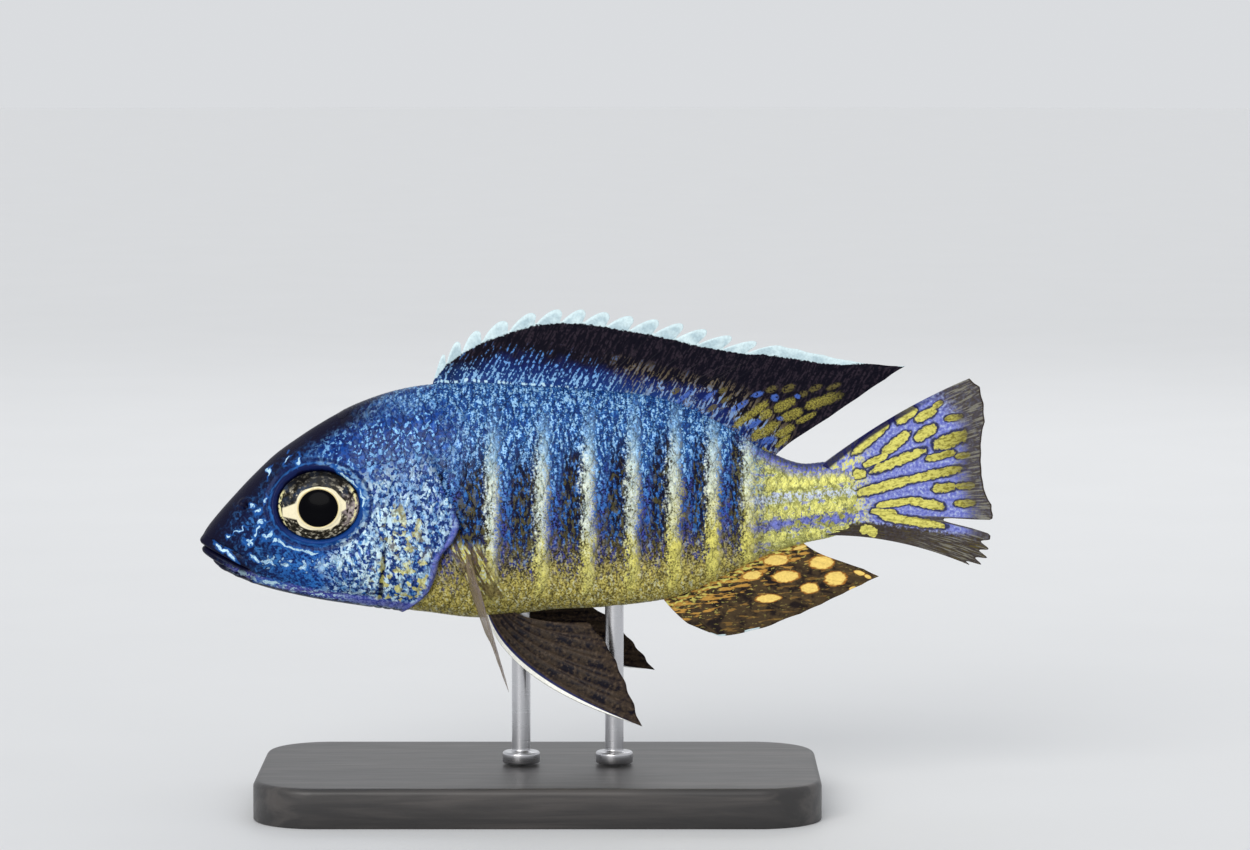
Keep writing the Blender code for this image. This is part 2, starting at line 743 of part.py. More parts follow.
def build_anal_and_caudal_fins(pose, yellow, brown):
    """The fin under the body's rear, and the tail fin with one gap torn open."""
    anal_rays = []
    for station, tip in zip(spread(*ANAL_ROOT, len(ANAL_TIPS)), ANAL_TIPS):
        root = (station, body_row(station)[1] + FIN_SINK)
        anal_rays.append(in_side_view(root, tip, slope_deg(root, tip) - SOFT_RAY_CURL_DEG))
    anal = fin("anal_fin", anal_rays, lambda k: SOFT_STEPS, ANAL_ROOT_HALF)
    finish(boolean(anal, "DIFFERENCE", swollen_body()), brown, pose)

    caudal_rays = []
    for k, tip in enumerate(CAUDAL_TIPS):
        share = k / (len(CAUDAL_TIPS) - 1)
        height = CAUDAL_ROOT_TOP + share * (CAUDAL_ROOT_FOOT - CAUDAL_ROOT_TOP)
        root = (CAUDAL_ROOT_STATION - CAUDAL_ROOT_CURVE * abs(2 * share - 1) ** 2, height)
        splay = CAUDAL_SPLAY[0] + (CAUDAL_SPLAY[1] - CAUDAL_SPLAY[0]) * share
        caudal_rays.append(in_side_view(root, tip, slope_deg(root, tip) * splay))
    caudal = fin(
        "caudal_fin",
        caudal_rays,
        lambda k: SPLIT_STEPS if k == CAUDAL_SPLIT_AFTER else SOFT_STEPS,
        CAUDAL_ROOT_HALF,
        lambda k, share: CAUDAL_SPLIT_TO if k == CAUDAL_SPLIT_AFTER and share == 0.5 else 1.0,
    )
    finish(boolean(caudal, "DIFFERENCE", swollen_body()), yellow, pose)


def pelvic_fin(name, side, splay_deg, fold_deg):
    """A pelvic fin laid out in its own plane, folded back in it, then splayed from the belly."""
    splay, fold = math.radians(splay_deg), math.radians(fold_deg)

    def swung(back, down, start):
        back, down = (
            back * math.cos(fold) + down * math.sin(fold),
            down * math.cos(fold) - back * math.sin(fold),
        )
        out = PELVIC_ROOT_APART + down * math.sin(splay)
        return start + back, side * out, PELVIC_ROOT_HEIGHT - down * math.cos(splay)

    rays = []
    last = len(PELVIC_TIPS) - 1
    for k, tip in enumerate(PELVIC_TIPS):
        start = PELVIC_ROOT[0] + (PELVIC_ROOT[1] - PELVIC_ROOT[0]) * k / last
        knee = [a + (b - a) * (k / last) ** 0.8 for a, b in zip(*PELVIC_KNEES)]
        rays.append(
            Ray(swung(0.0, -FIN_SINK, start), swung(*knee, start), swung(*tip, PELVIC_ROOT[0]))
        )
    return fin(name, rays, lambda k: PELVIC_STEPS, PAIRED_ROOT_HALF)


def pectoral_fin(name, side, aim, spread_axis):
    """A pectoral fin: a fan of rays about its aim, from a short upright root on the flank."""
    aim, spread_axis = np.array(aim), np.array(spread_axis)
    aim, spread_axis = aim / np.linalg.norm(aim), spread_axis / np.linalg.norm(spread_axis)
    mirror = np.array([1.0, side, 1.0])
    rays = []
    for k in range(PECTORAL_RAYS):
        share = k / (PECTORAL_RAYS - 1)
        station = PECTORAL_TOP[0] + share * (PECTORAL_FOOT[0] - PECTORAL_TOP[0])
        height = PECTORAL_TOP[1] + share * (PECTORAL_FOOT[1] - PECTORAL_TOP[1])
        root = np.array([station, flank(station, height) - FIN_SINK, height])
        turn = math.radians(PECTORAL_FAN_DEG * (0.48 - share))
        heading = aim * math.cos(turn) + spread_axis * math.sin(turn)
        reach = 0.62 + 0.38 * math.sin(math.pi * min(share * 1.35, 1.0)) - 0.22 * share**2
        length = PECTORAL_LENGTH * reach
        knee = root + (aim + heading) * length * 0.25
        rays.append(Ray(root * mirror, knee * mirror, (root + heading * length) * mirror))
    return fin(name, rays, lambda k: PECTORAL_STEPS, PAIRED_ROOT_HALF)


def build_paired_fins(pose, brown, clear):
    for side, label, splay, fold in ((-1, "left", 24.0, 0.0), (1, "right", 40.0, 8.0)):
        pelvic = pelvic_fin("pelvic_fin_" + label, side, splay, fold)
        finish(boolean(pelvic, "DIFFERENCE", swollen_body()), brown, pose)
    for side, label, aim, axis in (
        (-1, "left", (0.24, 0.45, -0.86), (-0.1, 0.86, 0.5)),
        (1, "right", (0.5, 0.5, -0.7), (-0.15, 0.8, 0.58)),
    ):
        pectoral = pectoral_fin("pectoral_fin_" + label, side, aim, axis)
        finish(boolean(pectoral, "DIFFERENCE", swollen_body()), clear, pose)


def rounded_plate(name, length, width, thickness, corner, bevel):
    """The stand's base: a plate with round corners and a small bevel along its top edge."""
    outline = []
    for quarter, (sx, sy) in enumerate(((1, 1), (-1, 1), (-1, -1), (1, -1))):
        for step in range(7):
            angle = math.pi / 2 * (quarter + step / 6)
            outline.append(
                (
                    sx * (length / 2 - corner) + corner * math.cos(angle),
                    sy * (width / 2 - corner) + corner * math.sin(angle),
                )
            )
    rings = []
    for inset, height in ((0.0, 0.0), (0.0, thickness - bevel), (bevel, thickness)):
        grow_x, grow_y = 1 - 2 * inset / length, 1 - 2 * inset / width
        rings.append([Vector((x * grow_x, y * grow_y, height)) * MM for x, y in outline])
    return loft(name, rings)


def rod(name, stand_x, pose):
    """A round rod with a low collar at its foot, cut off where it meets the belly."""
    foot = STAND_THICKNESS + GAP
    profile = [(COLLAR_RADIUS, 0.0), (COLLAR_RADIUS, COLLAR_HEIGHT - COLLAR_BEVEL)]
    profile += [(COLLAR_RADIUS - COLLAR_BEVEL, COLLAR_HEIGHT), (ROD_RADIUS, COLLAR_HEIGHT)]
    profile.append((ROD_RADIUS, SNOUT_ABOVE_FLOOR - foot))
    rings = []
    for radius, height in profile:
        turn = [2 * math.pi * k / ROD_SIDES for k in range(ROD_SIDES)]
        rings.append(
            [Vector((stand_x + radius * math.cos(a), radius * math.sin(a), foot + height)) * MM for a in turn]
        )
    made = loft(name, rings)
    belly = swollen_body()
    belly.parent = pose
    bpy.context.view_layer.update()
    return boolean(made, "DIFFERENCE", belly)


def build_stand(pose, grey, steel):
    plate = rounded_plate(
        "stand_base", STAND_LENGTH, STAND_WIDTH, STAND_THICKNESS, STAND_CORNER, STAND_BEVEL
    )
    finish(plate, grey)
    for stand_x, label in zip(ROD_STATIONS, ("front", "rear")):
        finish(rod("stand_rod_" + label, stand_x, pose), steel)


def main():
    for obj in list(bpy.data.objects):
        bpy.data.objects.remove(obj)
    pose = bpy.data.objects.new("fish_pose", None)
    bpy.context.scene.collection.objects.link(pose)
    pose.location = Vector((-SNOUT_AHEAD_OF_STAND, 0.0, SNOUT_ABOVE_FLOOR)) * MM
    pose.rotation_euler = (0.0, -math.radians(PITCH_DEG), 0.0)

    skin = principled("blue skin", SKIN_BLUE)
    build_head(pose, skin, principled("gill cover", GILL_BLUE))
    build_body(pose, skin, principled("belly", BELLY_OLIVE))
    build_eyes(pose, principled("eye", EYE_DARK, 0.1))
    brown = principled("brown fin", FIN_BROWN)
    build_dorsal_fin(pose, principled("black fin", DORSAL_BLACK))
    build_anal_and_caudal_fins(pose, principled("yellow fin", TAIL_YELLOW), brown)
    build_paired_fins(pose, brown, principled("clear fin", CLEAR_FIN))
    build_stand(pose, principled("stand", STAND_GREY, 0.5), principled("steel", ROD_STEEL, 0.3, 1.0))


main()
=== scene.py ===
"""A male peacock cichlid, life size, as a still museum model over a plain display stand.

The fish is shaped in its own straight frame, in millimetres: the first number runs from the snout
to the tail, the second across to its right, the third up. Each finished mesh is then swept a
little sideways, pitched nose down and set over the stand, in metres, where the frame has it.
"""

import math

import bpy
import numpy as np
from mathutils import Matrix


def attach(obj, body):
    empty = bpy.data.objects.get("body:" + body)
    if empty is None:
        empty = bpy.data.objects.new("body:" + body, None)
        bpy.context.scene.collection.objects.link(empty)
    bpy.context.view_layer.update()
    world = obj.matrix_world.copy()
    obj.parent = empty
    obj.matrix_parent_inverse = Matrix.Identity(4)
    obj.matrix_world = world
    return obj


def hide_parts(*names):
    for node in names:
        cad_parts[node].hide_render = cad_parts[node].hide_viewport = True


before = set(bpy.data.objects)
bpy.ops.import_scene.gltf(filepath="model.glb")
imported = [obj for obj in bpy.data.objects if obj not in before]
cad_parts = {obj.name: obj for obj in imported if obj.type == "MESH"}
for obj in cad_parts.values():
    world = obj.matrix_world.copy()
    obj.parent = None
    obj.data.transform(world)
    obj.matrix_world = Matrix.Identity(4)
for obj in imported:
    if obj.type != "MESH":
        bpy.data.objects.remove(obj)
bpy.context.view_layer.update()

# The flesh: one skin over the head, jaws, gill covers, trunk and tail. It is deepest under the front
# of the dorsal fin and fuller at the belly than at the back, and lies one scale's depth inside the
# frame's solids.
MM = 0.001
TOTAL_LENGTH = 110.0
STANDARD_LENGTH = 91.6
PITCH = math.radians(3.96)
SNOUT_PLACE = np.array([-47.0, 0.0, 37.0])
TAIL_SWEEP = 3.4
SWEEP_FROM = 42.0
SCALE_DEPTH = 0.14

# Each row: distance from the snout, back, belly, half width, height of the widest point.
BODY = np.array(
    [
        (0.0, 0.2, -0.9, 0.9, -0.4),
        (0.6, 1.5, -2.3, 2.1, -0.4),
        (2.0, 3.1, -4.0, 3.1, -0.3),
        (4.5, 5.6, -5.6, 4.1, 0.0),
        (8.0, 8.8, -7.2, 5.2, 0.6),
        (12.0, 11.8, -8.5, 6.2, 1.3),
        (17.0, 14.9, -9.8, 7.0, 1.6),
        (23.0, 17.6, -11.0, 7.6, 1.2),
        (30.0, 19.3, -12.0, 7.9, 0.6),
        (38.0, 19.5, -13.4, 7.9, 0.4),
        (48.0, 18.4, -13.0, 7.2, 0.6),
        (58.0, 17.0, -13.1, 6.1, 0.8),
        (66.0, 15.2, -12.3, 5.0, 0.8),
        (74.0, 11.0, -9.3, 3.8, 0.4),
        (79.0, 7.3, -7.4, 3.0, -0.1),
        (84.0, 4.9, -6.3, 2.3, -0.6),
        (88.0, 4.8, -5.7, 1.7, -0.4),
        (90.4, 4.3, -4.8, 1.3, -0.3),
        (STANDARD_LENGTH, 3.0, -3.3, 1.0, -0.2),
    ]
)
BACK_PINCH = 1.15
BELLY_PINCH = 0.88

# The gill cover's rear edge and its front edge, each as (height, distance from the snout).
GILL_EDGE = np.array(
    [(-15.0, 23.5), (-11.4, 27.9), (-9.2, 30.9), (-6.5, 32.4), (-3.9, 33.3), (-1.6, 35.3)]
    + [(0.3, 36.2), (2.3, 35.9), (5.0, 34.7), (12.0, 32.4), (22.0, 28.6)]
)
CHEEK_EDGE = np.array([(-15.0, 23.0), (-9.0, 24.7), (-4.0, 25.5), (1.0, 26.3), (8.0, 27.6)])

# The mouth's line, and the beads of flesh along it. Each bead is how far it stands out, how far it
# lies above its line and its width, and one that stands out by less than 0 is a groove.
MOUTH_FRONT = -0.74
MOUTH_SLOPE = -0.583
MOUTH_END = 6.9
MOUTH_GROOVE = (-0.6, 0.0, 0.2)
UPPER_LIP = (0.34, 0.75, 0.5)
LOWER_LIP = (0.3, -0.7, 0.48)
UPPER_LIP_FOLD = (-0.26, 1.75, 0.22)
LOWER_LIP_FOLD = (-0.2, -1.5, 0.2)
MOUTH_CORNER = (-0.3, 0.0, 0.45)

# The eye's place and half sizes, and the beads round it, whose places are shares of its size.
EYE_CENTRE = (17.0, 4.4)
EYE_LONG = 5.7
EYE_HIGH = 4.7
SOCKET_DEPTH = 1.9
SOCKET_WALL = (0.93, 1.03)
EYE_RIM = (0.3, 1.12, 0.06)
EYE_GROOVE = (-0.16, 1.27, 0.05)
EYE_FOLD = (0.1, 1.37, 0.05)

# The gill cover's rise, and the beads at its rear edge, at the cheek's edge and under the throat.
GILL_RISE = 0.5
GILL_SLIT = (-0.62, 0.3, 0.26)
GILL_LIP = (0.16, -0.45, 0.3)
CHEEK_GROOVE = (-0.26, 0.0, 0.24)
CHEEK_RIDGE = (0.12, 0.7, 0.5)
LIMB_GROOVE = (-0.16, 0.0, 0.3)
THROAT_RAYS = ((-0.14, -2.2, 0.2), (-0.14, -3.7, 0.2), (-0.14, -5.2, 0.2))

# The nostril and the sensory pores, each in a raised rim.
NOSTRIL = (6.6, 4.7)
NOSTRIL_PIT = (-0.6, 0.0, 0.36)
NOSTRIL_RIM = (0.18, 0.8, 0.24)
CHEEK_PORES = ((7.4, -2.5), (9.6, -3.3), (11.9, -3.9), (14.3, -4.2), (16.8, -4.2), (19.2, -3.7))
JAW_PORES = ((2.9, -3.9), (4.8, -4.9), (6.9, -5.9))
PORE_PIT = (-0.3, 0.0, 0.3)
PORE_RIM = (0.08, 0.6, 0.2)

# Two soft swellings: distance from the snout, height, half length, half height, and the rise.
CHEEK_SWELL = (21.5, -3.5, 4.2, 3.4, 0.3)
BROW_SWELL = (16.0, 10.6, 6.0, 2.0, 0.35)


def smooth(x, knots, values):
    """A smooth curve through the knots, as cubic pieces whose slopes follow their neighbours."""
    slopes = np.gradient(values, knots)
    i = np.clip(np.searchsorted(knots, x) - 1, 0, len(knots) - 2)
    span = knots[i + 1] - knots[i]
    t = np.clip((x - knots[i]) / span, 0.0, 1.0)
    rise = values[i + 1] - values[i]
    a = slopes[i] * span - rise
    b = rise - slopes[i + 1] * span
    return values[i] + t * rise + t * (1 - t) * (a * (1 - t) + b * t)


def body_at(station):
    """(back, belly, half width, widest height) at distances from the snout."""
    root = np.sqrt(np.maximum(station, 0.0))
    return [smooth(root, np.sqrt(BODY[:, 0]), BODY[:, k]) for k in (1, 2, 3, 4)]


def flank(station, height):
    """How far the body's side is from its middle plane."""
    top, bottom, half, level = body_at(station)
    above = height > level
    up = np.clip(np.abs(height - level) / np.where(above, top - level, level - bottom), 0, 1)
    return half * (1 - up * up) ** (np.where(above, BACK_PINCH, BELLY_PINCH) / 2)


def in_frame(points):
    """Points of the straight fish as they lie in the frame, in metres."""
    station, across, height = np.moveaxis(np.asarray(points, float), -1, 0)
    across = across + TAIL_SWEEP * ((station - SWEEP_FROM) / (TOTAL_LENGTH - SWEEP_FROM)) ** 2
    x = station * math.cos(PITCH) - height * math.sin(PITCH)
    z = station * math.sin(PITCH) + height * math.cos(PITCH)
    return (np.stack([x, across, z], -1) + SNOUT_PLACE) * MM


def ramp(x, low, high):
    """A soft step from 0 to 1 as x goes from low to high."""
    t = np.clip((x - low) / (high - low), 0.0, 1.0)
    return t * t * (3 - 2 * t)


def bead(x, rise, centre, width):
    """A rounded ridge across x, or a groove."""
    return rise * np.exp(-(((x - centre) / width) ** 2))


def past_gill_edge(station, height):
    return station - smooth(height, GILL_EDGE[:, 0], GILL_EDGE[:, 1])


def past_cheek_edge(station, height):
    return station - smooth(height, CHEEK_EDGE[:, 0], CHEEK_EDGE[:, 1])


def from_eye(station, height, half_long, half_high):
    """How far out of an oval about the eye a place is: 1 on the oval."""
    return np.hypot((station - EYE_CENTRE[0]) / half_long, (height - EYE_CENTRE[1]) / half_high)


def lips(station, height):
    """The closed mouth: a groove between two rolled lips, with a fold behind each."""
    above = height - (MOUTH_FRONT + MOUTH_SLOPE * station)
    groove = bead(above, *MOUTH_GROOVE) * (1 - ramp(station, MOUTH_END - 0.8, MOUTH_END + 0.2))
    rolls = bead(above, *UPPER_LIP) + bead(above, *LOWER_LIP)
    folds = bead(above, *UPPER_LIP_FOLD) * ramp(station, 0.4, 1.6) + bead(above, *LOWER_LIP_FOLD)
    fade = 1 - ramp(station, MOUTH_END - 2.2, MOUTH_END + 0.4)
    from_corner = np.hypot(station - MOUTH_END - 0.3, above + 0.5)
    return groove + (rolls + folds) * fade + bead(from_corner, *MOUTH_CORNER)


def round_eye(station, height):
    """The socket, its raised rim and the folds of skin outside it."""
    out = from_eye(station, height, EYE_LONG, EYE_HIGH)
    socket = -SOCKET_DEPTH * (1 - ramp(out, *SOCKET_WALL))
    return socket + bead(out, *EYE_RIM) + bead(out, *EYE_GROOVE) + bead(out, *EYE_FOLD)


def gill_cover(station, height):
    """The cheek's groove, the cover's gentle rise, its free rear edge and the slit behind it."""
    past = past_gill_edge(station, height)
    low = 1 - ramp(height, 8.5, 11.5)
    rise = GILL_RISE * ramp(station, 19.0, 33.0) * (1 - ramp(past, -0.15, 0.2)) * low
    slit = (bead(past, *GILL_SLIT) + bead(past, *GILL_LIP)) * low
    past_cheek = past_cheek_edge(station, height)
    reach = ramp(height, -10.8, -9.0) * (1 - ramp(height, 6.0, 8.0))
    groove = (bead(past_cheek, *CHEEK_GROOVE) + bead(past_cheek, *CHEEK_RIDGE)) * reach
    above_limb = height + 8.2 + 0.1 * (station - 14.0)
    limb = bead(above_limb, *LIMB_GROOVE) * ramp(station, 11.0, 14.0) * (1 - ramp(station, 23.5, 24.5))
    rays = sum(bead(past, *ray) for ray in THROAT_RAYS)
    throat = rays * (1 - ramp(height, -10.4, -9.6)) * ramp(station, 16.0, 19.0)
    return rise + slit + groove + limb + throat


def pits(station, height):
    """The nostril in its raised rim, and the row of sensory pores on the cheek and the jaw."""
    away = np.hypot(station - NOSTRIL[0], height - NOSTRIL[1])
    depth = bead(away, *NOSTRIL_PIT) + bead(away, *NOSTRIL_RIM)
    for pore_station, pore_height in CHEEK_PORES + JAW_PORES:
        away = np.hypot(station - pore_station, height - pore_height)
        depth = depth + bead(away, *PORE_PIT) + bead(away, *PORE_RIM)
    return depth


def swelling(station, height, at, level, half_long, half_high, rise):
    return bead(np.hypot((station - at) / half_long, (height - level) / half_high), rise, 0.0, 1.0)


def relief(station, height):
    """How far the skin stands out from the plain body, in millimetres."""
    parts = [make(station, height) for make in (lips, round_eye, gill_cover, pits)]
    parts += [swelling(station, height, *swell) for swell in (CHEEK_SWELL, BROW_SWELL)]
    return sum(parts) - SCALE_DEPTH


# The rings of the skin: closest at the snout, close over the head's relief, and wider behind it.
SNOUT_RINGS = 0.95 * np.linspace(0, 1, 14) ** 2
HEAD_RINGS = np.arange(1.1, 37.0, 0.16)
TRUNK_RINGS = np.append(np.arange(37.1, STANDARD_LENGTH, 0.36), STANDARD_LENGTH)
SKIN_STATIONS = np.concatenate([SNOUT_RINGS, HEAD_RINGS, TRUNK_RINGS])
HALF_SAMPLES = 105
ARC_SAMPLES = 240


def one_side():
    """The right side's points, from belly to back at each station, and the lengths of its arcs."""
    top, bottom, half, level = (row[:, None] for row in body_at(SKIN_STATIONS))
    turn = np.linspace(0.0, math.pi / 2, ARC_SAMPLES)[None, :]
    sides, lengths = [], []
    for reach, pinch in ((bottom - level, BELLY_PINCH), (top - level, BACK_PINCH)):
        across = half * np.maximum(np.cos(turn), 0.0) ** pinch
        height = level + reach * np.sin(turn)
        steps = np.hypot(np.diff(across, axis=1), np.diff(height, axis=1))
        arc = np.concatenate([np.zeros((len(steps), 1)), np.cumsum(steps, axis=1)], axis=1)
        even = np.linspace(0.0, 1.0, HALF_SAMPLES)
        rows = zip(arc, across, height)
        sides.append([[np.interp(even * a[-1], a, line) for line in (y, z)] for a, y, z in rows])
        lengths.append(arc[:, -1])
    low, high = np.array(sides[0]), np.array(sides[1])
    points = np.concatenate([low[:, :, ::-1], high[:, :, 1:]], axis=2)
    stations = np.broadcast_to(SKIN_STATIONS[:, None], points[:, 0].shape)
    return np.stack([stations, points[:, 0], points[:, 1]], -1), lengths[0], lengths[1]


def normals_of(grid):
    """Outward normals of the right side's grid of points."""
    normals = np.cross(np.gradient(grid, axis=1), np.gradient(grid, axis=0))
    return normals / (np.linalg.norm(normals, axis=2, keepdims=True) + 1e-12)


plain_side, belly_arc, back_arc = one_side()
skin_side = plain_side + normals_of(plain_side) * relief(plain_side[..., 0], plain_side[..., 2])[..., None]
skin_side[:, (0, -1), 1] = 0.0
skin_normals = normals_of(skin_side)


def make_mesh(name, points, face_groups, material, attributes):
    """A smooth mesh from points in metres and arrays of faces, with its attributes at points."""
    mesh = bpy.data.meshes.new(name)
    groups = [np.asarray(faces, np.int32) for faces in face_groups]
    corners = np.concatenate([faces.ravel() for faces in groups])
    sizes = np.concatenate([np.full(len(faces), faces.shape[1]) for faces in groups])
    starts = np.concatenate([[0], np.cumsum(sizes)[:-1]]).astype(np.int32)
    mesh.vertices.add(len(points))
    mesh.vertices.foreach_set("co", np.asarray(points, np.float32).ravel())
    mesh.loops.add(len(corners))
    mesh.loops.foreach_set("vertex_index", corners)
    mesh.polygons.add(len(sizes))
    mesh.polygons.foreach_set("loop_start", starts)
    mesh.update(calc_edges=True)
    for key, values in attributes.items():
        attribute = mesh.attributes.new(key, "FLOAT_VECTOR", "POINT")
        attribute.data.foreach_set("vector", np.asarray(values, np.float32).ravel())
    mesh.shade_smooth()
    mesh.materials.append(material)
    obj = bpy.data.objects.new(name, mesh)
    bpy.context.scene.collection.objects.link(obj)
    return obj


def zones(points):
    """For each point of the straight fish: how far past the gill edge, from the back, from the belly."""
    station, _, height = np.moveaxis(points, -1, 0)
    top, bottom, _, _ = body_at(station)
    return np.stack([past_gill_edge(station, height), top - height, height - bottom], -1)


def closed_rings(rings, count):
    """Faces of a closed form: walls between rings of points, and a fan to a tip at either end.

    The two tips are the points after the rings, that of the first ring before that of the last.
    """
    ring, edge = np.meshgrid(np.arange(rings - 1), np.arange(count), indexing="ij")
    here, there = ring * count + edge, ring * count + (edge + 1) % count
    walls = np.stack([here, there, there + count, here + count], -1).reshape(-1, 4)
    here, there = here[0], there[0]
    last, tip = (rings - 1) * count, np.full(count, rings * count)
    first_fan = np.stack([there, here, tip], -1)
    last_fan = np.stack([last + here, last + there, tip + 1], -1)
    return walls, first_fan, last_fan


def skin_mesh(material):
    """Both sides as one closed surface: rings joined along the fish, with its two ends filled."""
    mirror = np.array([1.0, -1.0, 1.0])
    ring, plain = (
        np.concatenate([(side * mirror)[:, ::-1], side[:, 1:-1]], axis=1) for side in (skin_side, plain_side)
    )
    tips = [ring[0].mean(axis=0), ring[-1].mean(axis=0)]
    points = np.concatenate([ring.reshape(-1, 3), tips])
    places = np.concatenate([plain.reshape(-1, 3), tips])
    markers = {"fish": places, "zone": zones(places)}
    return make_mesh("skin", in_frame(points), closed_rings(*ring.shape[:2]), material, markers)


class Wire:
    """A socket in a material, so that what is worked out from it reads as ordinary sums."""

    def __init__(self, finish, socket):
        self.finish = finish
        self.socket = socket

    def _sum(self, operation, *values):
        return self.finish.node("Math", {"operation": operation}, dict(enumerate(values)))

    def __add__(self, other):
        return self._sum("ADD", self, other)

    def __sub__(self, other):
        return self._sum("SUBTRACT", self, other)

    def __mul__(self, other):
        return self._sum("MULTIPLY", self, other)

    def __truediv__(self, other):
        return self._sum("DIVIDE", self, other)

    def __pow__(self, other):
        return self._sum("POWER", self, other)

    def __rsub__(self, other):
        return self._sum("SUBTRACT", other, self)

    def __abs__(self):
        return self._sum("ABSOLUTE", self)

    __radd__ = __add__
    __rmul__ = __mul__

    def rounded(self):
        return self._sum("ROUND", self)

    def wave(self):
        return self._sum("SINE", self)

    def stray(self, span):
        """A noise of 0 to 1 as a value that strays about 0 over this span."""
        return (self - 0.5) * span

    def above(self, low, high):
        """A soft step from 0 to 1 as the value goes from low to high."""
        settings = {"interpolation_type": "SMOOTHSTEP"}
        return self.finish.node("MapRange", settings, {"Value": self, "From Min": low, "From Max": high})

    def below(self, low, high):
        return 1 - self.above(low, high)

    def near(self, centre, half, soft):
        """1 within half of the centre, fading to 0 over soft."""
        return abs(self - centre).below(half, half + soft)

    def parts(self):
        """The three numbers of a vector."""
        return [self.finish.node("SeparateXYZ", {}, {"Vector": self}, k) for k in range(3)]


class Finish:
    """A material as it is built up. node adds any node and links what it is given to its sockets."""

    def __init__(self, name):
        self.material = bpy.data.materials.new(name)
        self.material.use_nodes = True
        self.tree = self.material.node_tree
        self.tree.nodes.clear()

    def node(self, kind, settings, inputs, output=0):
        made = self.tree.nodes.new("ShaderNode" + kind)
        for key, value in settings.items():
            setattr(made, key, value)
        for key, value in inputs.items():
            if isinstance(value, Wire):
                self.tree.links.new(value.socket, made.inputs[key])
            else:
                made.inputs[key].default_value = value
        return Wire(self, made.outputs[output]) if made.outputs else made

    def attribute(self, name):
        return self.node("Attribute", {"attribute_name": name}, {}, 1)

    def noise(self, place, scale, detail=2.0, distortion=0.0):
        inputs = {"Vector": place, "Scale": scale, "Detail": detail, "Distortion": distortion}
        return self.node("TexNoise", {}, inputs)

    def stretched(self, place, factors):
        """The place pulled out by a factor along each axis, for streaks."""
        return self.node("VectorMath", {"operation": "MULTIPLY"}, {0: place, 1: factors})

    def paint(self, under, over, mask):
        """The colour over laid on the colour under wherever the mask is 1."""
        return self.node("Mix", {"data_type": "RGBA"}, {0: mask, 6: under, 7: over}, 2)

    def toned(self, colour, factor):
        """The colour made lighter or darker by a factor."""
        return self.node("VectorMath", {"operation": "SCALE"}, {0: colour, "Scale": factor})

    def surface(self, constants, **varying):
        """The Principled shader, with its constants set on it and its varying sockets linked."""
        inputs = {key.replace("_", " "): value for key, value in {**constants, **varying}.items()}
        shader = self.node("BsdfPrincipled", {}, inputs)
        self.node("OutputMaterial", {}, {"Surface": shader})
        return self.material

    def bump(self, height, strength, distance):
        inputs = {"Height": height, "Strength": strength, "Distance": distance * MM}
        return self.node("Bump", {}, inputs)


def paint_tin(red, green, blue):
    """A colour given as it looks, 0 to 255, as the light it reflects."""
    light = [(c / 255 / 12.92) if c < 11 else ((c / 255 + 0.055) / 1.055) ** 2.4 for c in (red, green, blue)]
    return (*light, 1.0)


INK = paint_tin(8, 7, 34)
NAVY = paint_tin(12, 26, 74)
DEEP_BLUE = paint_tin(18, 60, 128)
BRIGHT_BLUE = paint_tin(60, 122, 190)
VIOLET_BLUE = paint_tin(64, 74, 164)
SKY_BLUE = paint_tin(156, 200, 234)
PALE_BLUE = paint_tin(140, 184, 220)
ICE = paint_tin(190, 224, 238)
LAVENDER = paint_tin(112, 120, 196)
OLIVE_BLACK = paint_tin(40, 36, 26)
MOSS = paint_tin(86, 80, 42)
OLIVE = paint_tin(98, 88, 44)
DULL_OLIVE = paint_tin(114, 104, 58)
OLD_GOLD = paint_tin(130, 118, 60)
BELLY_GOLD = paint_tin(208, 194, 104)
YELLOW = paint_tin(222, 214, 112)
CREAM = paint_tin(214, 223, 204)
SAGE = paint_tin(170, 188, 160)
GLINT = paint_tin(236, 240, 216)
CHEST_BROWN = paint_tin(104, 88, 62)

# The pale bars: the first one's place, how many there are, how far apart they are and how fast that
# shrinks. They stand upright while the fish itself points down a little.
FIRST_BAR = 40.9
BAR_COUNT = 7
BAR_STEP = 7.05
BAR_SHRINK = 0.185
BAR_LEAN = math.tan(PITCH)


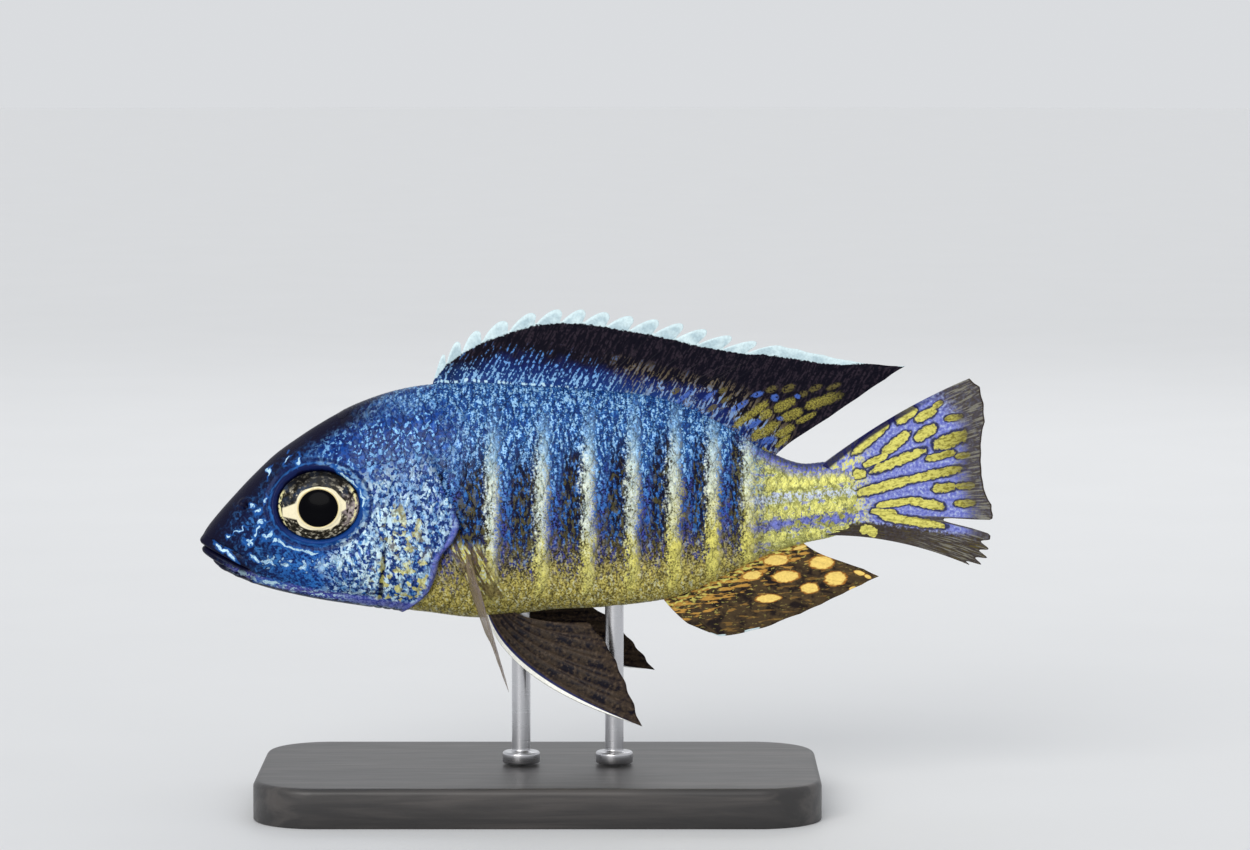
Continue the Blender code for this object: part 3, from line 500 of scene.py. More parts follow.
def flank_colour(f, spot):
    """Behind the gill: blue back, pale bars over navy and olive, and a gold belly, all in fine specks."""
    along, _, up = spot.parts()
    wander = f.noise(spot, 0.3, 3) - 0.5
    streak = f.noise(f.stretched(spot, (1.0, 0.38, 0.38)), 2.6, 3)
    moss = f.noise(f.stretched(spot, (1.0, 0.5, 0.5)), 2.4, 3)
    grit = f.noise(spot, 4.2, 2)
    speckle = grit + streak
    level = up + wander * 5 + streak.stray(7)

    # The nearest bar, counted from 0 at the front, how far behind it a place is, and the strip there.
    upright = along - (up - 4.0) * BAR_LEAN + wander * 1.2
    inner = (BAR_STEP**2 + 4 * BAR_SHRINK * FIRST_BAR) - upright * (4 * BAR_SHRINK)
    bar_number = (BAR_STEP - inner**0.5) / (2 * BAR_SHRINK)
    nearest = bar_number.rounded()
    off = (bar_number - nearest) * (BAR_STEP - nearest * (2 * BAR_SHRINK)) + (speckle - 1.0) * 2.4
    counted = nearest.above(-0.6, -0.4) * nearest.below(BAR_COUNT - 0.6, BAR_COUNT - 0.4)
    strip = off.above(0.3, 1.2) * off.below(2.0, 3.4)

    # The back, and the dark flank below it, bluer in the strip behind each bar.
    back = f.paint(DEEP_BLUE, BRIGHT_BLUE, streak.above(0.38, 0.6))
    back = f.paint(back, NAVY, grit.below(0.38, 0.48) * 0.75)
    back = f.paint(back, SKY_BLUE, speckle.above(1.04, 1.15) * 0.85)
    dark = f.paint(INK, DEEP_BLUE, streak.above(0.46, 0.6))
    dark = f.paint(dark, BRIGHT_BLUE, speckle.above(1.04, 1.18) * 0.75)
    dark = f.paint(dark, VIOLET_BLUE, strip * grit.above(0.42, 0.56) * 0.7)
    mossy = moss.above(0.5, 0.58) * (level + strip * 6).below(4.0, 10.0)
    dark = f.paint(dark, MOSS, mossy * 0.75)
    blue = strip * speckle.above(0.98, 1.1) * level.above(-2.0, 3.0)
    dark = f.paint(dark, BRIGHT_BLUE, blue * 0.7)
    colour = f.paint(dark, back, (level + strip * 4.5).above(6.5, 12.5))

    # Olive, and then the belly's gold.
    low = f.paint(OLIVE_BLACK, DULL_OLIVE, grit.above(0.38, 0.54))
    low = f.paint(low, VIOLET_BLUE, moss.below(0.4, 0.48) * 0.7)
    low = f.paint(low, BELLY_GOLD, speckle.above(1.03, 1.14) * 0.7)
    colour = f.paint(colour, low, level.below(-6.5, -1.0) * 0.85)
    gold = f.paint(OLD_GOLD, BELLY_GOLD, grit.above(0.4, 0.54))
    gold = f.paint(gold, CREAM, speckle.above(1.08, 1.18) * 0.6)
    gold = f.paint(gold, OLIVE_BLACK, moss.below(0.38, 0.46) * 0.55)
    colour = f.paint(colour, gold, level.below(-10.0, -5.5))

    # The bars: pale blue at the top, cream, and gilt at the foot, with a lavender shade behind.
    pale = f.paint(PALE_BLUE, CREAM, level.below(5.0, 11.0))
    pale = f.paint(pale, PALE_BLUE, grit.above(0.5, 0.6) * 0.5)
    pale = f.paint(pale, SAGE, moss.above(0.5, 0.62) * 0.4)
    shaded = off.above(-0.2, 0.9) * grit.above(0.42, 0.56) * level.below(1.0, 6.0)
    pale = f.paint(pale, LAVENDER, shaded * 0.8)
    shining = speckle.above(1.07, 1.16) * level.below(9.0, 14.0)
    pale = f.paint(pale, GLINT, shining * 0.6)
    pale = f.paint(pale, NAVY, speckle.below(0.8, 0.93) * 0.6)
    tail_end = along.above(57.0, 70.0)
    gilt = (level + off * 1.8).below(-5.5, -1.0) + tail_end * level.below(0.0, 5.0) * 0.6
    pale = f.paint(pale, YELLOW, gilt * (0.5 + streak * 0.8))
    pale = f.paint(pale, OLIVE, grit.below(0.38, 0.46) * level.below(-1.0, 4.0) * 0.6)
    bar = abs(off).below(0.15, 1.3) * counted
    strength = level.above(-12.0, -8.5) * level.below(7.0, 17.0) * (0.55 + grit * 0.5 + streak * 0.4)
    colour = f.paint(colour, pale, bar * strength)

    # Golden ribs on brown where the pectoral fin starts.
    slant = along + up * 0.42
    ribs = f.noise(f.node("CombineXYZ", {}, {"X": slant * 1.7, "Y": up * 0.25}), 1.0, 3)
    chest = slant.near(35.6, 1.4, 1.2) * up.near(-6.4, 3.0, 1.8)
    colour = f.paint(colour, CHEST_BROWN, chest * ribs.below(0.5, 0.56) * 0.75)
    return f.paint(colour, f.paint(YELLOW, CREAM, grit.above(0.5, 0.6)), chest * ribs.above(0.5, 0.56) * 0.85)


ROOT_OLIVE = paint_tin(160, 160, 88)
ROOT_YELLOW = paint_tin(228, 230, 140)
ROOT_LEMON = paint_tin(236, 232, 128)
ROOT_PEARL = paint_tin(200, 212, 232)


def tail_root_colour(f, spot, from_back, under):
    """The slender end of the body: yellow patches in rows between lavender ones, under fine specks."""
    along, _, up = spot.parts()
    wander = f.noise(spot, 0.9, 2).stray(1.2)
    patch = f.noise(f.stretched(spot, (0.75, 1.0, 1.2)), 1.2, 2)
    grit = f.noise(spot, 3.6, 2)
    row = up + wander
    colour = f.paint(ROOT_OLIVE, ROOT_YELLOW, (patch + grit).above(0.92, 1.1))
    colour = f.paint(colour, OLIVE, grit.above(0.55, 0.68) * 0.6)
    breaks = f.noise(f.stretched(spot, (1.0, 0.0, 0.3)), 0.9, 1).above(0.4, 0.46)
    blocks = (row.near(2.5, 0.6, 0.4) + row.near(-1.4, 0.6, 0.4) + row.near(-5.0, 0.5, 0.4)) * breaks
    colour = f.paint(colour, ROOT_LEMON, blocks * grit.below(0.5, 0.62) * 0.8)
    colour = f.paint(colour, LAVENDER, patch.above(0.56, 0.64) * (1 - blocks) * 0.75)
    colour = f.paint(colour, ROOT_PEARL, row.near(0.5, 0.3, 0.5) * grit.above(0.4, 0.54) * 0.85)
    colour = f.paint(colour, LAVENDER, row.near(-3.2, 0.4, 0.5) * patch.above(0.4, 0.5) * 0.95)
    colour = f.paint(colour, VIOLET_BLUE, grit.below(0.36, 0.44) * row.near(-3.1, 1.0, 0.8) * 0.8)
    colour = f.paint(colour, LAVENDER, (from_back + wander).below(0.8, 2.4) * grit.above(0.36, 0.5))
    colour = f.paint(colour, NAVY, (from_back + wander * 0.5).below(0.2, 1.1) * 0.8)
    return f.paint(under, colour, (along + wander * 3 + grit.stray(8)).above(74.5, 81.0))


def squiggles(f, spot, factors, scale, width):
    """Short bent lines, as where a rumpled film of light skin shows through."""
    bent = abs(f.noise(f.stretched(spot, factors), scale, 1, 0.9) - 0.5)
    return bent.below(width * 0.5, width)


def from_place(f, spot, station, height):
    """How far a place on either side of the fish is from one seen square on."""
    to_place = {0: f.stretched(spot, (1.0, 0.0, 1.0)), 1: (station, 0.0, height)}
    return f.node("VectorMath", {"operation": "DISTANCE"}, to_place, 1)


def nearest_mark(f, spot, marks, blunt):
    """How far out of the nearest of these leaning marks a place is: 1 on its outline.

    blunt squares off a mark's ends: 1 leaves them oval and 2 makes them blunt.
    """
    along, _, up = spot.parts()
    nearest = None
    for at, height, half_long, half_wide, lean_deg in marks:
        lean = math.radians(lean_deg)
        ahead, above = along - at, up - height
        down = (ahead * math.cos(lean) + above * math.sin(lean)) / half_long
        over = (above * math.cos(lean) - ahead * math.sin(lean)) / half_wide
        out = ((down * down) ** blunt + over * over) ** 0.5
        nearest = out if nearest is None else f.node("Math", {"operation": "MINIMUM"}, {0: nearest, 1: out})
    return nearest


# Each streak or mark: distance from the snout, height, half length, half width, and its lean in degrees.
FACE_STREAKS = (
    (11.4, -0.5, 0.7, 0.16, -48),
    (13.1, -1.4, 1.5, 0.15, -19),
    (15.4, -2.1, 1.1, 0.13, -10),
    (10.6, -0.3, 0.45, 0.16, 42),
    (2.5, -0.9, 0.5, 0.13, -49),
    (3.3, -1.4, 0.6, 0.15, -17),
    (4.2, -2.1, 0.85, 0.15, -49),
    (5.7, 1.3, 0.75, 0.13, 27),
    (4.1, 0.4, 0.3, 0.18, 70),
    (8.2, 1.5, 0.55, 0.15, 41),
    (7.7, 0.8, 0.42, 0.14, 77),
    (7.0, -0.2, 0.55, 0.17, 25),
    (9.7, 0.7, 0.7, 0.17, 42),
    (8.5, 3.9, 0.38, 0.17, 40),
    (7.8, 4.5, 0.3, 0.15, 30),
    (9.6, 5.4, 0.4, 0.15, 62),
    (8.9, 2.4, 0.5, 0.15, 20),
    (7.4, -2.6, 0.5, 0.17, -50),
    (9.2, -6.3, 1.2, 0.3, -10),
    (21.5, 7.6, 1.6, 0.16, -42),
    (23.4, 4.6, 1.1, 0.2, -84),
    (10.3, 9.0, 0.5, 0.14, 60),
    (13.0, 10.6, 0.5, 0.14, 50),
    (14.6, 10.5, 0.5, 0.15, 80),
)


FACE_BLUE = paint_tin(16, 52, 124)
FACE_LIGHT = paint_tin(40, 106, 188)
CHEEK_SHADE = paint_tin(20, 60, 138)
CHEEK_GAP = paint_tin(14, 52, 124)
FROST = paint_tin(208, 236, 248)
RIME = paint_tin(212, 240, 250)


def head_colour(f, spot, past_gill, from_back, from_belly):
    """The face and gill cover: deep blue broken by icy flecks, nearly black above, violet below."""
    along, _, up = spot.parts()
    slow = f.noise(spot, 0.35, 2)
    crumbs = f.noise(spot, 1.5, 2)
    fine = f.noise(spot, 3.0, 2)
    colour = f.paint(FACE_BLUE, FACE_LIGHT, crumbs.above(0.4, 0.6))
    colour = f.paint(colour, NAVY, fine.below(0.4, 0.5) * 0.7)
    colour = f.paint(colour, INK, (along + slow.stray(6)).below(7.0, 16.0) * (0.5 + fine * 0.5))

    # The cheek and gill cover: bright and violet specks, then pale strokes and frost over them.
    cheek = (along + slow.stray(8)).above(15.0, 22.0)
    rearward = along.above(24.0, 31.0)
    below_nape = (from_back + slow.stray(5)).above(6.0, 13.0)
    patchy = slow.above(0.34, 0.5)
    face = squiggles(f, spot, (1.0, 0.8, 0.8), 0.7, 0.08) * crumbs.above(0.52, 0.57)
    upright = squiggles(f, spot, (1.0, 0.55, 0.55), 0.62, 0.13) * crumbs.above(0.48, 0.53)
    strokes = squiggles(f, spot, (1.2, 0.6, 0.6), 0.95, 0.12) * fine.above(0.46, 0.52)
    blots = f.noise(f.stretched(spot, (1.0, 0.6, 0.6)), 1.25, 2, 0.6)
    colour = f.paint(colour, BRIGHT_BLUE, fine.above(0.54, 0.62) * (0.2 + cheek * 0.55))
    colour = f.paint(colour, BRIGHT_BLUE, face * (0.6 + cheek * 0.4) * (0.3 + patchy * 0.7))
    colour = f.paint(colour, CHEEK_SHADE, blots.below(0.44, 0.52) * cheek * 0.5)
    colour = f.paint(colour, NAVY, crumbs.below(0.4, 0.46) * cheek * 0.75)
    violet = blots.below(0.42, 0.47) * fine.above(0.46, 0.56) * cheek * below_nape
    colour = f.paint(colour, LAVENDER, violet * 0.6)
    colour = f.paint(colour, PALE_BLUE, strokes * cheek * (0.25 + below_nape * 0.45) * (1 - rearward * 0.3))
    lines = upright * cheek * (0.3 + patchy * 0.7) * (0.2 + below_nape * 0.8)
    colour = f.paint(colour, FROST, lines * (0.95 - rearward * 0.25))
    icy = f.paint(PALE_BLUE, RIME, fine.above(0.42, 0.54))
    frost = (blots - rearward * 0.05).above(0.565, 0.6) * cheek * below_nape
    colour = f.paint(colour, icy, frost * (0.6 + patchy * 0.4))
    colour = f.paint(colour, CHEEK_GAP, crumbs.below(0.43, 0.49) * cheek * 0.7)
    for station, height in CHEEK_PORES[1:]:
        away = from_place(f, spot, station, height) + crumbs.stray(4.2) + slow.stray(1.5)
        colour = f.paint(colour, icy, away.below(0.5, 0.8) * 0.9)

    # The line at the cheek's rear edge, and the gold patches on the gill cover.
    cheek_line = abs(along - 26.1 - up * 0.17).below(0.2, 0.5) * up.above(-10.2, -9.4) * up.below(-4.0, 0.0)
    colour = f.paint(colour, INK, cheek_line * 0.9)
    patches = f.noise(spot, 0.85, 3)
    low_gold = (from_place(f, spot, 28.5, -7.0) + slow.stray(7)).below(2.0, 7.0)
    high_gold = (from_place(f, spot, 28.5, 0.5) + slow.stray(5)).below(1.0, 4.5)
    gold = patches.above(0.52, 0.56) * (0.4 + fine) * (low_gold + high_gold * 0.7)
    colour = f.paint(colour, YELLOW, gold * 0.85)

    # The dark forehead and snout.
    dark_top = (from_back + slow.stray(4) + crumbs.stray(3)).below(1.0, 7.0) * along.below(21.0, 29.0)
    colour = f.paint(colour, INK, dark_top)
    colour = f.paint(colour, INK, (along + up * 0.5 + slow.stray(4)).below(3.0, 7.0) * 0.9)
    colour = f.paint(colour, INK, from_back.below(0.2, 1.0) * 0.8)

    # The violet line along the jaw with painted shade under it, the rim of the gill cover, and the closed
    # mouth, its line painted shade.
    jaw = (from_belly + (crumbs - 0.5)).near(1.2, 0.35, 0.5) * along.above(2.6, 5.0)
    jaw_violet = f.paint(VIOLET_BLUE, LAVENDER, fine.above(0.45, 0.55))
    jaw_violet = f.paint(jaw_violet, ICE, crumbs.above(0.53, 0.58) * along.below(16.0, 22.0))
    colour = f.paint(colour, jaw_violet, jaw * (0.5 + along.above(5.0, 12.0) * 0.4))
    # Painted shade: INK along the head's underside, below the jaw's violet line.
    colour = f.paint(colour, INK, (from_belly + (crumbs - 0.5)).below(0.3, 0.8) * 0.85)
    rim = past_gill.above(-1.2, -0.5) * up.below(-1.0, 3.5)
    colour = f.paint(colour, f.paint(LAVENDER, VIOLET_BLUE, fine.above(0.5, 0.6)), rim * 0.85)
    # Painted shade: the line between the closed lips is laid on in INK.
    from_mouth = abs(up - (MOUTH_FRONT + along * MOUTH_SLOPE))
    near_mouth = along.below(MOUTH_END - 0.6, MOUTH_END)
    return f.paint(colour, INK, from_mouth.below(0.12, 0.5) * near_mouth)


RING_BLUE = paint_tin(40, 104, 178)
STREAK_GLOW = paint_tin(30, 92, 170)


def eye_ring_colour(f, spot, under):
    """Round the eye: a dark rim, a bright blue ring, and broken lines of light skin over the face."""
    along, _, up = spot.parts()
    out_x = (along - EYE_CENTRE[0]) / EYE_LONG
    out_z = (up - EYE_CENTRE[1]) / EYE_HIGH
    stray = f.noise(spot, 1.1, 2) - 0.5
    out = (out_x * out_x + out_z * out_z) ** 0.5 + stray * 0.12
    # Painted shade: the socket's upper front is navy instead of deep blue, and the dark rim inside the socket
    # is deeper there.
    shaded = (out_z - out_x * 0.8).above(-0.7, 0.3)
    colour = f.paint(under, f.paint(DEEP_BLUE, NAVY, shaded), out.below(1.14, 1.2))
    colour = f.paint(colour, INK, out.below(1.0, 1.06) * (0.4 + shaded * 0.5))
    colour = f.paint(colour, RING_BLUE, out.near(1.2, 0.0, 0.06) * (0.6 + stray * 2))
    colour = f.paint(colour, NAVY, out.near(1.3, 0.02, 0.06) * 0.7)
    # A painted highlight: the ring is pale blue on its upper rear side.
    lit = out.near(1.2, 0.03, 0.05) * (out_x + out_z * 0.5).above(0.5, 1.0) * stray.above(-0.1, 0.02)
    colour = f.paint(colour, PALE_BLUE, lit * 0.7)

    fine = f.noise(spot, 2.4, 2)
    bend = f.noise(spot, 0.9, 1).stray(1.6)
    bent = f.node("CombineXYZ", {}, {"X": along + bend, "Y": 0.0, "Z": up + (stray - bend) * 0.9})
    streaks = nearest_mark(f, bent, FACE_STREAKS, 1) + fine.stray(1.3)
    colour = f.paint(colour, STREAK_GLOW, streaks.below(1.5, 2.6) * 0.7)
    return f.paint(colour, f.paint(PALE_BLUE, ICE, fine.above(0.4, 0.5)), streaks.below(0.9, 1.2))


NAPE_DARK = paint_tin(0, 28, 92)
NAPE_BLUE = paint_tin(6, 64, 146)
NAPE_FLECK = paint_tin(134, 192, 238)


def markings(f, spot, zone):
    """The male's colours at any place of its flesh, with painted shade and a painted highlight among them."""
    along, _, up = spot.parts()
    past_gill, from_back, from_belly = zone.parts()
    flank_side = tail_root_colour(f, spot, from_back, flank_colour(f, spot))
    head_side = head_colour(f, spot, past_gill, from_back, from_belly)
    low = up.below(7.0, 12.0)
    drift = f.noise(spot, 0.4, 2).stray(6)
    behind = past_gill.above(-0.05, 0.2) * low + (past_gill + drift).above(-6.0, 4.0) * (1 - low)
    grains = f.noise(spot, 2.0, 2)
    # The nape: its own deep blue, laid on darker than the blue around it as painted shade against the light
    # on its upward slope, with pale flecks over it.
    nape = from_back.below(6.0, 15.0) * from_back.above(1.5, 4.0) * along.near(27.0, 6.0, 7.0)
    nape_blue_and_shade = f.paint(NAPE_DARK, NAPE_BLUE, grains.above(0.4, 0.56))
    colour = f.paint(f.paint(head_side, flank_side, behind), nape_blue_and_shade, nape * 0.88)
    flecks = squiggles(f, spot, (1.1, 0.6, 0.6), 0.7, 0.09) * grains.above(0.52, 0.56)
    colour = f.paint(colour, NAPE_FLECK, flecks * nape * 0.85)
    return eye_ring_colour(f, spot, colour)


def skin_finish():
    f = Finish("scaleless skin")
    spot, zone = f.attribute("fish"), f.attribute("zone")
    colour = markings(f, spot, zone)
    fine = f.noise(spot, 5.0, 3)
    pores = f.noise(spot, 1.6, 4)
    return f.surface(
        {"Coat Weight": 0.05, "Coat Roughness": 0.12, "IOR": 1.4, "Specular IOR Level": 0.1},
        Base_Color=colour,
        Roughness=0.3 + fine * 0.25,
        Metallic=pores.above(0.5, 0.65) * 0.15,
        Normal=f.bump(fine + pores, 0.35, 0.12),
    )


skin_material = skin_finish()
skin = skin_mesh(skin_material)
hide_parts("head", "lower_jaw", "gill_cover_left", "gill_cover_right", "trunk", "tail")
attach(skin, "root")

# The scales: thin overlapping plates of bone in the skin, each under a film of slime. They lie in
# slanting rows, larger on the flank than on the nape, the gill cover and the tail's slender root.
SCALE_STEP = 1.74
SCALE_ROW = 1.92
SCALE_HALF_LONG = 0.8
SCALE_HALF_HIGH = 1.02
SCALE_JITTER = (0.035, 0.04, 0.05)
SCALE_MARGIN = 0.92
SCALE_TURNS = 20
SCALE_RINGS = np.array([0.32, 0.58, 0.78, 0.92, 1.0])
SCALE_SHEET = 0.07
SCALE_ROOT_SUNK = 0.07
SCALE_TILT = 0.125
SCALE_CROWN = 0.06
FIRST_COLUMN = 19.2
BARE_ROUND_EYE = 8.4
CHEEK_COLUMNS = np.arange(19.0, 35.6, 0.58)
CHEEK_ROW = 1.3
UNWRAP_PATCH = 0.0015
SCALES_PER_COAT = 620


def on_skin(station, arc):
    """Places, normals and unrelieved places of the right side at a station and a way up its arc."""
    row = np.interp(station, SKIN_STATIONS, np.arange(len(SKIN_STATIONS)))
    below, above = (np.interp(station, SKIN_STATIONS, lengths) for lengths in (belly_arc, back_arc))
    last = HALF_SAMPLES - 1
    column = np.clip(last * (1 + arc / np.where(arc < 0, below, above)), 0.0, 2 * last - 0.001)
    i, k = np.minimum(row.astype(int), len(SKIN_STATIONS) - 2), column.astype(int)
    p, q = (row - i)[..., None], (column - k)[..., None]

    def blend(grid):
        return (grid[i, k] * (1 - p) + grid[i + 1, k] * p) * (1 - q) + (
            grid[i, k + 1] * (1 - p) + grid[i + 1, k + 1] * p
        ) * q

    return blend(skin_side), blend(skin_normals), blend(plain_side)


def staggered(stations, row_height):
    """Roots of scales in slanting rows: every second column is shifted by one row."""
    roots = []
    for column, station in enumerate(stations):
        pitch = row_height(station)
        for row in range(-16, 17):
            if (row + column) % 2 == 0:
                roots.append((station, row * pitch, pitch))
    return np.array(roots)


def body_rows():
    """The rows over nape, flank and tail root, closer together towards both ends."""
    stations, station = [], FIRST_COLUMN
    while station < STANDARD_LENGTH - 0.7:
        stations.append(station)
        narrow = 0.36 * (1 - ramp(station, 22.0, 37.0)) + 0.24 * ramp(station, 70.0, 88.0)
        station += SCALE_STEP / 2 * (1 - narrow)

    def row_height(station):
        return SCALE_ROW * (1 - 0.36 * (1 - ramp(station, 18.0, 40.0)) - 0.3 * ramp(station, 62.0, 88.0))

    roots = staggered(stations, row_height)
    station, _, height = np.moveaxis(on_skin(roots[:, 0], roots[:, 1])[2], -1, 0)
    behind_gill = past_gill_edge(station, height) > 0.9
    nape = height > 9.6 + 0.1 * (28.0 - station)
    off_eye = from_eye(station, height, BARE_ROUND_EYE, BARE_ROUND_EYE) > 1
    front = 21.0 + np.sin(roots[:, 1] * 2.3) + 0.8 * np.sin(roots[:, 1] * 5.1 + 1.0)
    return roots[(behind_gill | nape) & off_eye & (roots[:, 0] > front)]


def cheek_rows():
    """The smaller scales of the cheek and the gill cover, off the groove between the two."""
    roots = staggered(CHEEK_COLUMNS, lambda station: CHEEK_ROW)
    station, _, height = np.moveaxis(on_skin(roots[:, 0], roots[:, 1])[2], -1, 0)
    on_cover = (past_gill_edge(station, height) < -1.3) & (height < 8.4) & (height > -8.2)
    off_eye = from_eye(station, height, 8.6, 8.0) > 1
    off_groove = np.abs(past_cheek_edge(station, height) - 0.3) > 0.75
    return roots[on_cover & off_eye & off_groove]


def scale_template():
    """(back, up, height over the skin) of one scale's points, its outer face first, and its faces."""
    turn = 2 * math.pi * np.arange(SCALE_TURNS) / SCALE_TURNS
    back, up = np.cos(turn), np.sin(turn)
    back = np.where(back > 0, back * (1 - 0.1 * np.abs(up) ** 3), back * 0.9)
    disc = np.concatenate([[[0.0, 0.0]]] + [np.stack([back, up], -1) * r for r in SCALE_RINGS])
    spread = np.hypot(disc[:, 0], disc[:, 1])
    outer = SCALE_TILT * (disc[:, 0] + 1) - SCALE_ROOT_SUNK + SCALE_CROWN * np.clip(1 - spread**2, 0, 1)
    rim = disc[-SCALE_TURNS:] * 0.985
    inner = SCALE_TILT * (rim[:, 0] + 1) - SCALE_ROOT_SUNK - SCALE_SHEET
    points = np.concatenate([np.column_stack([disc, outer]), np.column_stack([rim, inner]), [[0, 0, -0.04]]])
    around = np.arange(SCALE_TURNS)
    after = (around + 1) % SCALE_TURNS
    fans = [np.stack([np.zeros_like(around), 1 + around, 1 + after], -1)]
    under = 1 + SCALE_TURNS * len(SCALE_RINGS)
    middle = np.full(SCALE_TURNS, under + SCALE_TURNS)
    fans.append(np.stack([middle, under + after, under + around], -1))
    bands = []
    for ring in range(len(SCALE_RINGS)):
        inside = 1 + SCALE_TURNS * ring
        outside = inside + SCALE_TURNS
        bands.append(np.stack([inside + around, outside + around, outside + after, inside + after], -1))
    return points, np.concatenate(fans), np.concatenate(bands)


def coat(name, roots, side, mosaic, material):
    """Scales of one side as one mesh, each following the skin under it and lifting off to its rear.

    mosaic is how far a scale takes its whole colour from its root's place, from 0 to 1.
    """
    points, fans, bands = scale_template()
    chance = np.random.default_rng(len(roots) + (7 if side > 0 else 0))
    jitter = chance.normal(size=(len(roots), 3)) * SCALE_JITTER
    pitch = roots[:, 2]
    station = roots[:, 0] + jitter[:, 0] * pitch
    half_long = pitch * SCALE_HALF_LONG * (1 + jitter[:, 2])
    half_high = pitch * SCALE_HALF_HIGH * (1 + jitter[:, 2])
    below, above = (np.interp(station, SKIN_STATIONS, lengths) for lengths in (belly_arc, back_arc))
    margin = half_high * SCALE_MARGIN
    arc = np.clip(roots[:, 1] + jitter[:, 1] * pitch, margin - below, above - margin)

    at_station = station[:, None] + half_long[:, None] * points[:, 0]
    at_arc = arc[:, None] + half_high[:, None] * points[:, 1]
    place, normal, plain = on_skin(np.minimum(at_station, STANDARD_LENGTH - 0.05), at_arc)
    lift = points[:, 2] * (pitch[:, None] / SCALE_ROW) ** 0.6
    shape = place + normal * lift[..., None]
    root_place = on_skin(station, arc)[2]
    seen = root_place[:, None] * mosaic + plain * (1 - mosaic)
    for grid in (shape, seen):
        grid[..., 1] *= side

    lots = chance.random(len(roots))[:, None]
    blade = np.stack([np.broadcast_to(part, lift.shape) for part in (points[:, 0], points[:, 1], lots)], -1)
    step = (np.arange(len(roots)) * len(points))[:, None, None]
    groups = [(faces[None] + step).reshape(-1, faces.shape[1]) for faces in (fans, bands)]
    if side > 0:
        groups = [faces[:, ::-1] for faces in groups]
    markers = {"fish": seen.reshape(-1, 3), "zone": zones(seen).reshape(-1, 3), "blade": blade.reshape(-1, 3)}
    piece = make_mesh(name, in_frame(shape.reshape(-1, 3)), groups, material, markers)

    # The left side's scales unwrap to the lower half of the sheet, and the right side's to the upper.
    across = 0.25 + 0.5 * (side > 0) + arc / 30.0 * 0.23
    centre = np.stack([0.03 + station / STANDARD_LENGTH * 0.94, across], -1)
    spot = centre[:, None] + points[None, :, :2] * UNWRAP_PATCH
    unwrap = piece.data.uv_layers.new(name="OFBake")
    corner = np.empty(len(piece.data.loops), np.int32)
    piece.data.loops.foreach_get("vertex_index", corner)
    unwrap.data.foreach_set("uv", spot.reshape(-1, 2)[corner].astype(np.float32).ravel())
    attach(piece, "root")
    return piece


def scale_finish():
    """Bone under slime: the fish's markings, a darker rim, growth lines and a pearly sheen."""
    f = Finish("scales")
    spot, zone = f.attribute("fish"), f.attribute("zone")
    back, up, chance = f.attribute("blade").parts()
    colour = markings(f, spot, zone)
    out = (back * back + up * up) ** 0.5
    grit = f.noise(f.node("CombineXYZ", {}, {"X": back * 3.2, "Y": up * 2.2, "Z": chance * 60.0}), 1.7, 2)
    fleck = (abs(up) * 0.9 + abs(back - 0.45)).below(0.1, 0.62)
    past_gill, from_back, _ = zone.parts()
    on_head = past_gill.below(-1.5, 2.0) * spot.parts()[0].above(20.0, 28.0) * from_back.above(0.5, 5.0)
    wavering = out + grit.stray(0.8)
    crescent = wavering.near(0.62, 0.1, 0.1) * grit.above(0.42, 0.5) * chance.above(0.4, 0.5)
    light = f.paint(PALE_BLUE, ICE, chance.above(0.5, 0.9))
    colour = f.paint(colour, light, crescent * on_head * (0.15 + from_back.above(6.0, 14.0) * 0.25))
    tone = 0.68 + grit.above(0.3, 0.7) * 0.42 + fleck * (0.12 + chance * 0.16) - out.above(0.84, 0.98) * 0.16
    lines = f.noise(f.node("CombineXYZ", {}, {"X": back * 2.0, "Y": up * 9.0, "Z": chance * 40.0}), 1.6, 2)
    rings = (out * 38.0 + lines * 3.0).wave()
    return f.surface(
        {"Coat Weight": 0.07, "Coat Roughness": 0.1, "IOR": 1.42, "Specular IOR Level": 0.14},
        Base_Color=f.toned(colour, tone),
        Roughness=0.28 + lines * 0.2,
        Metallic=chance.above(0.2, 1.0) * 0.15,
        Normal=f.bump(lines + rings * 0.12, 0.4, 0.08),
    )


scale_material = scale_finish()
coats = (
    ("scales_flank", body_rows(), 0.15, "flank_skin", "trunk"),
    ("scales_cheek", cheek_rows(), 0.1, "gill_skin", "head"),
)
for name, roots, mosaic, slot, node in coats:
    for side, label in ((-1, "left"), (1, "right")):
        for number, start in enumerate(range(0, len(roots), SCALES_PER_COAT)):
            part = roots[start : start + SCALES_PER_COAT]
            piece = coat(f"{name}_{label}_{number + 1}", part, side, mosaic, scale_material)
            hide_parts(node)

# The eyes: each a dark iris with a broken cream ring round the pupil and the pupil's black lens
# bulging through it. They sit in their sockets, turned a little ahead and up.
EYE_TURNS = 128
EYE_PROUD = 1.0
EYE_WALL = [(0.9, -3.2), (0.99, -2.0), (1.0, -0.5), (0.995, -0.2)]
IRIS_SUNK = 0.05
PUPIL_RADIUS = 2.75
PUPIL_ROUNDER = 0.6
LENS_PROUD = 0.28
PUPIL_SHIFT = (0.2, -0.45)
EYE_FORWARD = math.radians(8.0)
EYE_UPWARD = math.radians(7.0)
IRIS_DARK = paint_tin(24, 22, 16)
IRIS_GOLD = paint_tin(206, 182, 112)
IRIS_UMBER = paint_tin(84, 78, 66)
IRIS_STEEL = paint_tin(48, 62, 84)
IRIS_PEARL = paint_tin(164, 150, 150)
IRIS_SPECK = paint_tin(190, 184, 164)
IRIS_EDGE = paint_tin(228, 220, 164)
RING_CREAM = paint_tin(240, 230, 196)
PUPIL_BLACK = paint_tin(6, 6, 9)


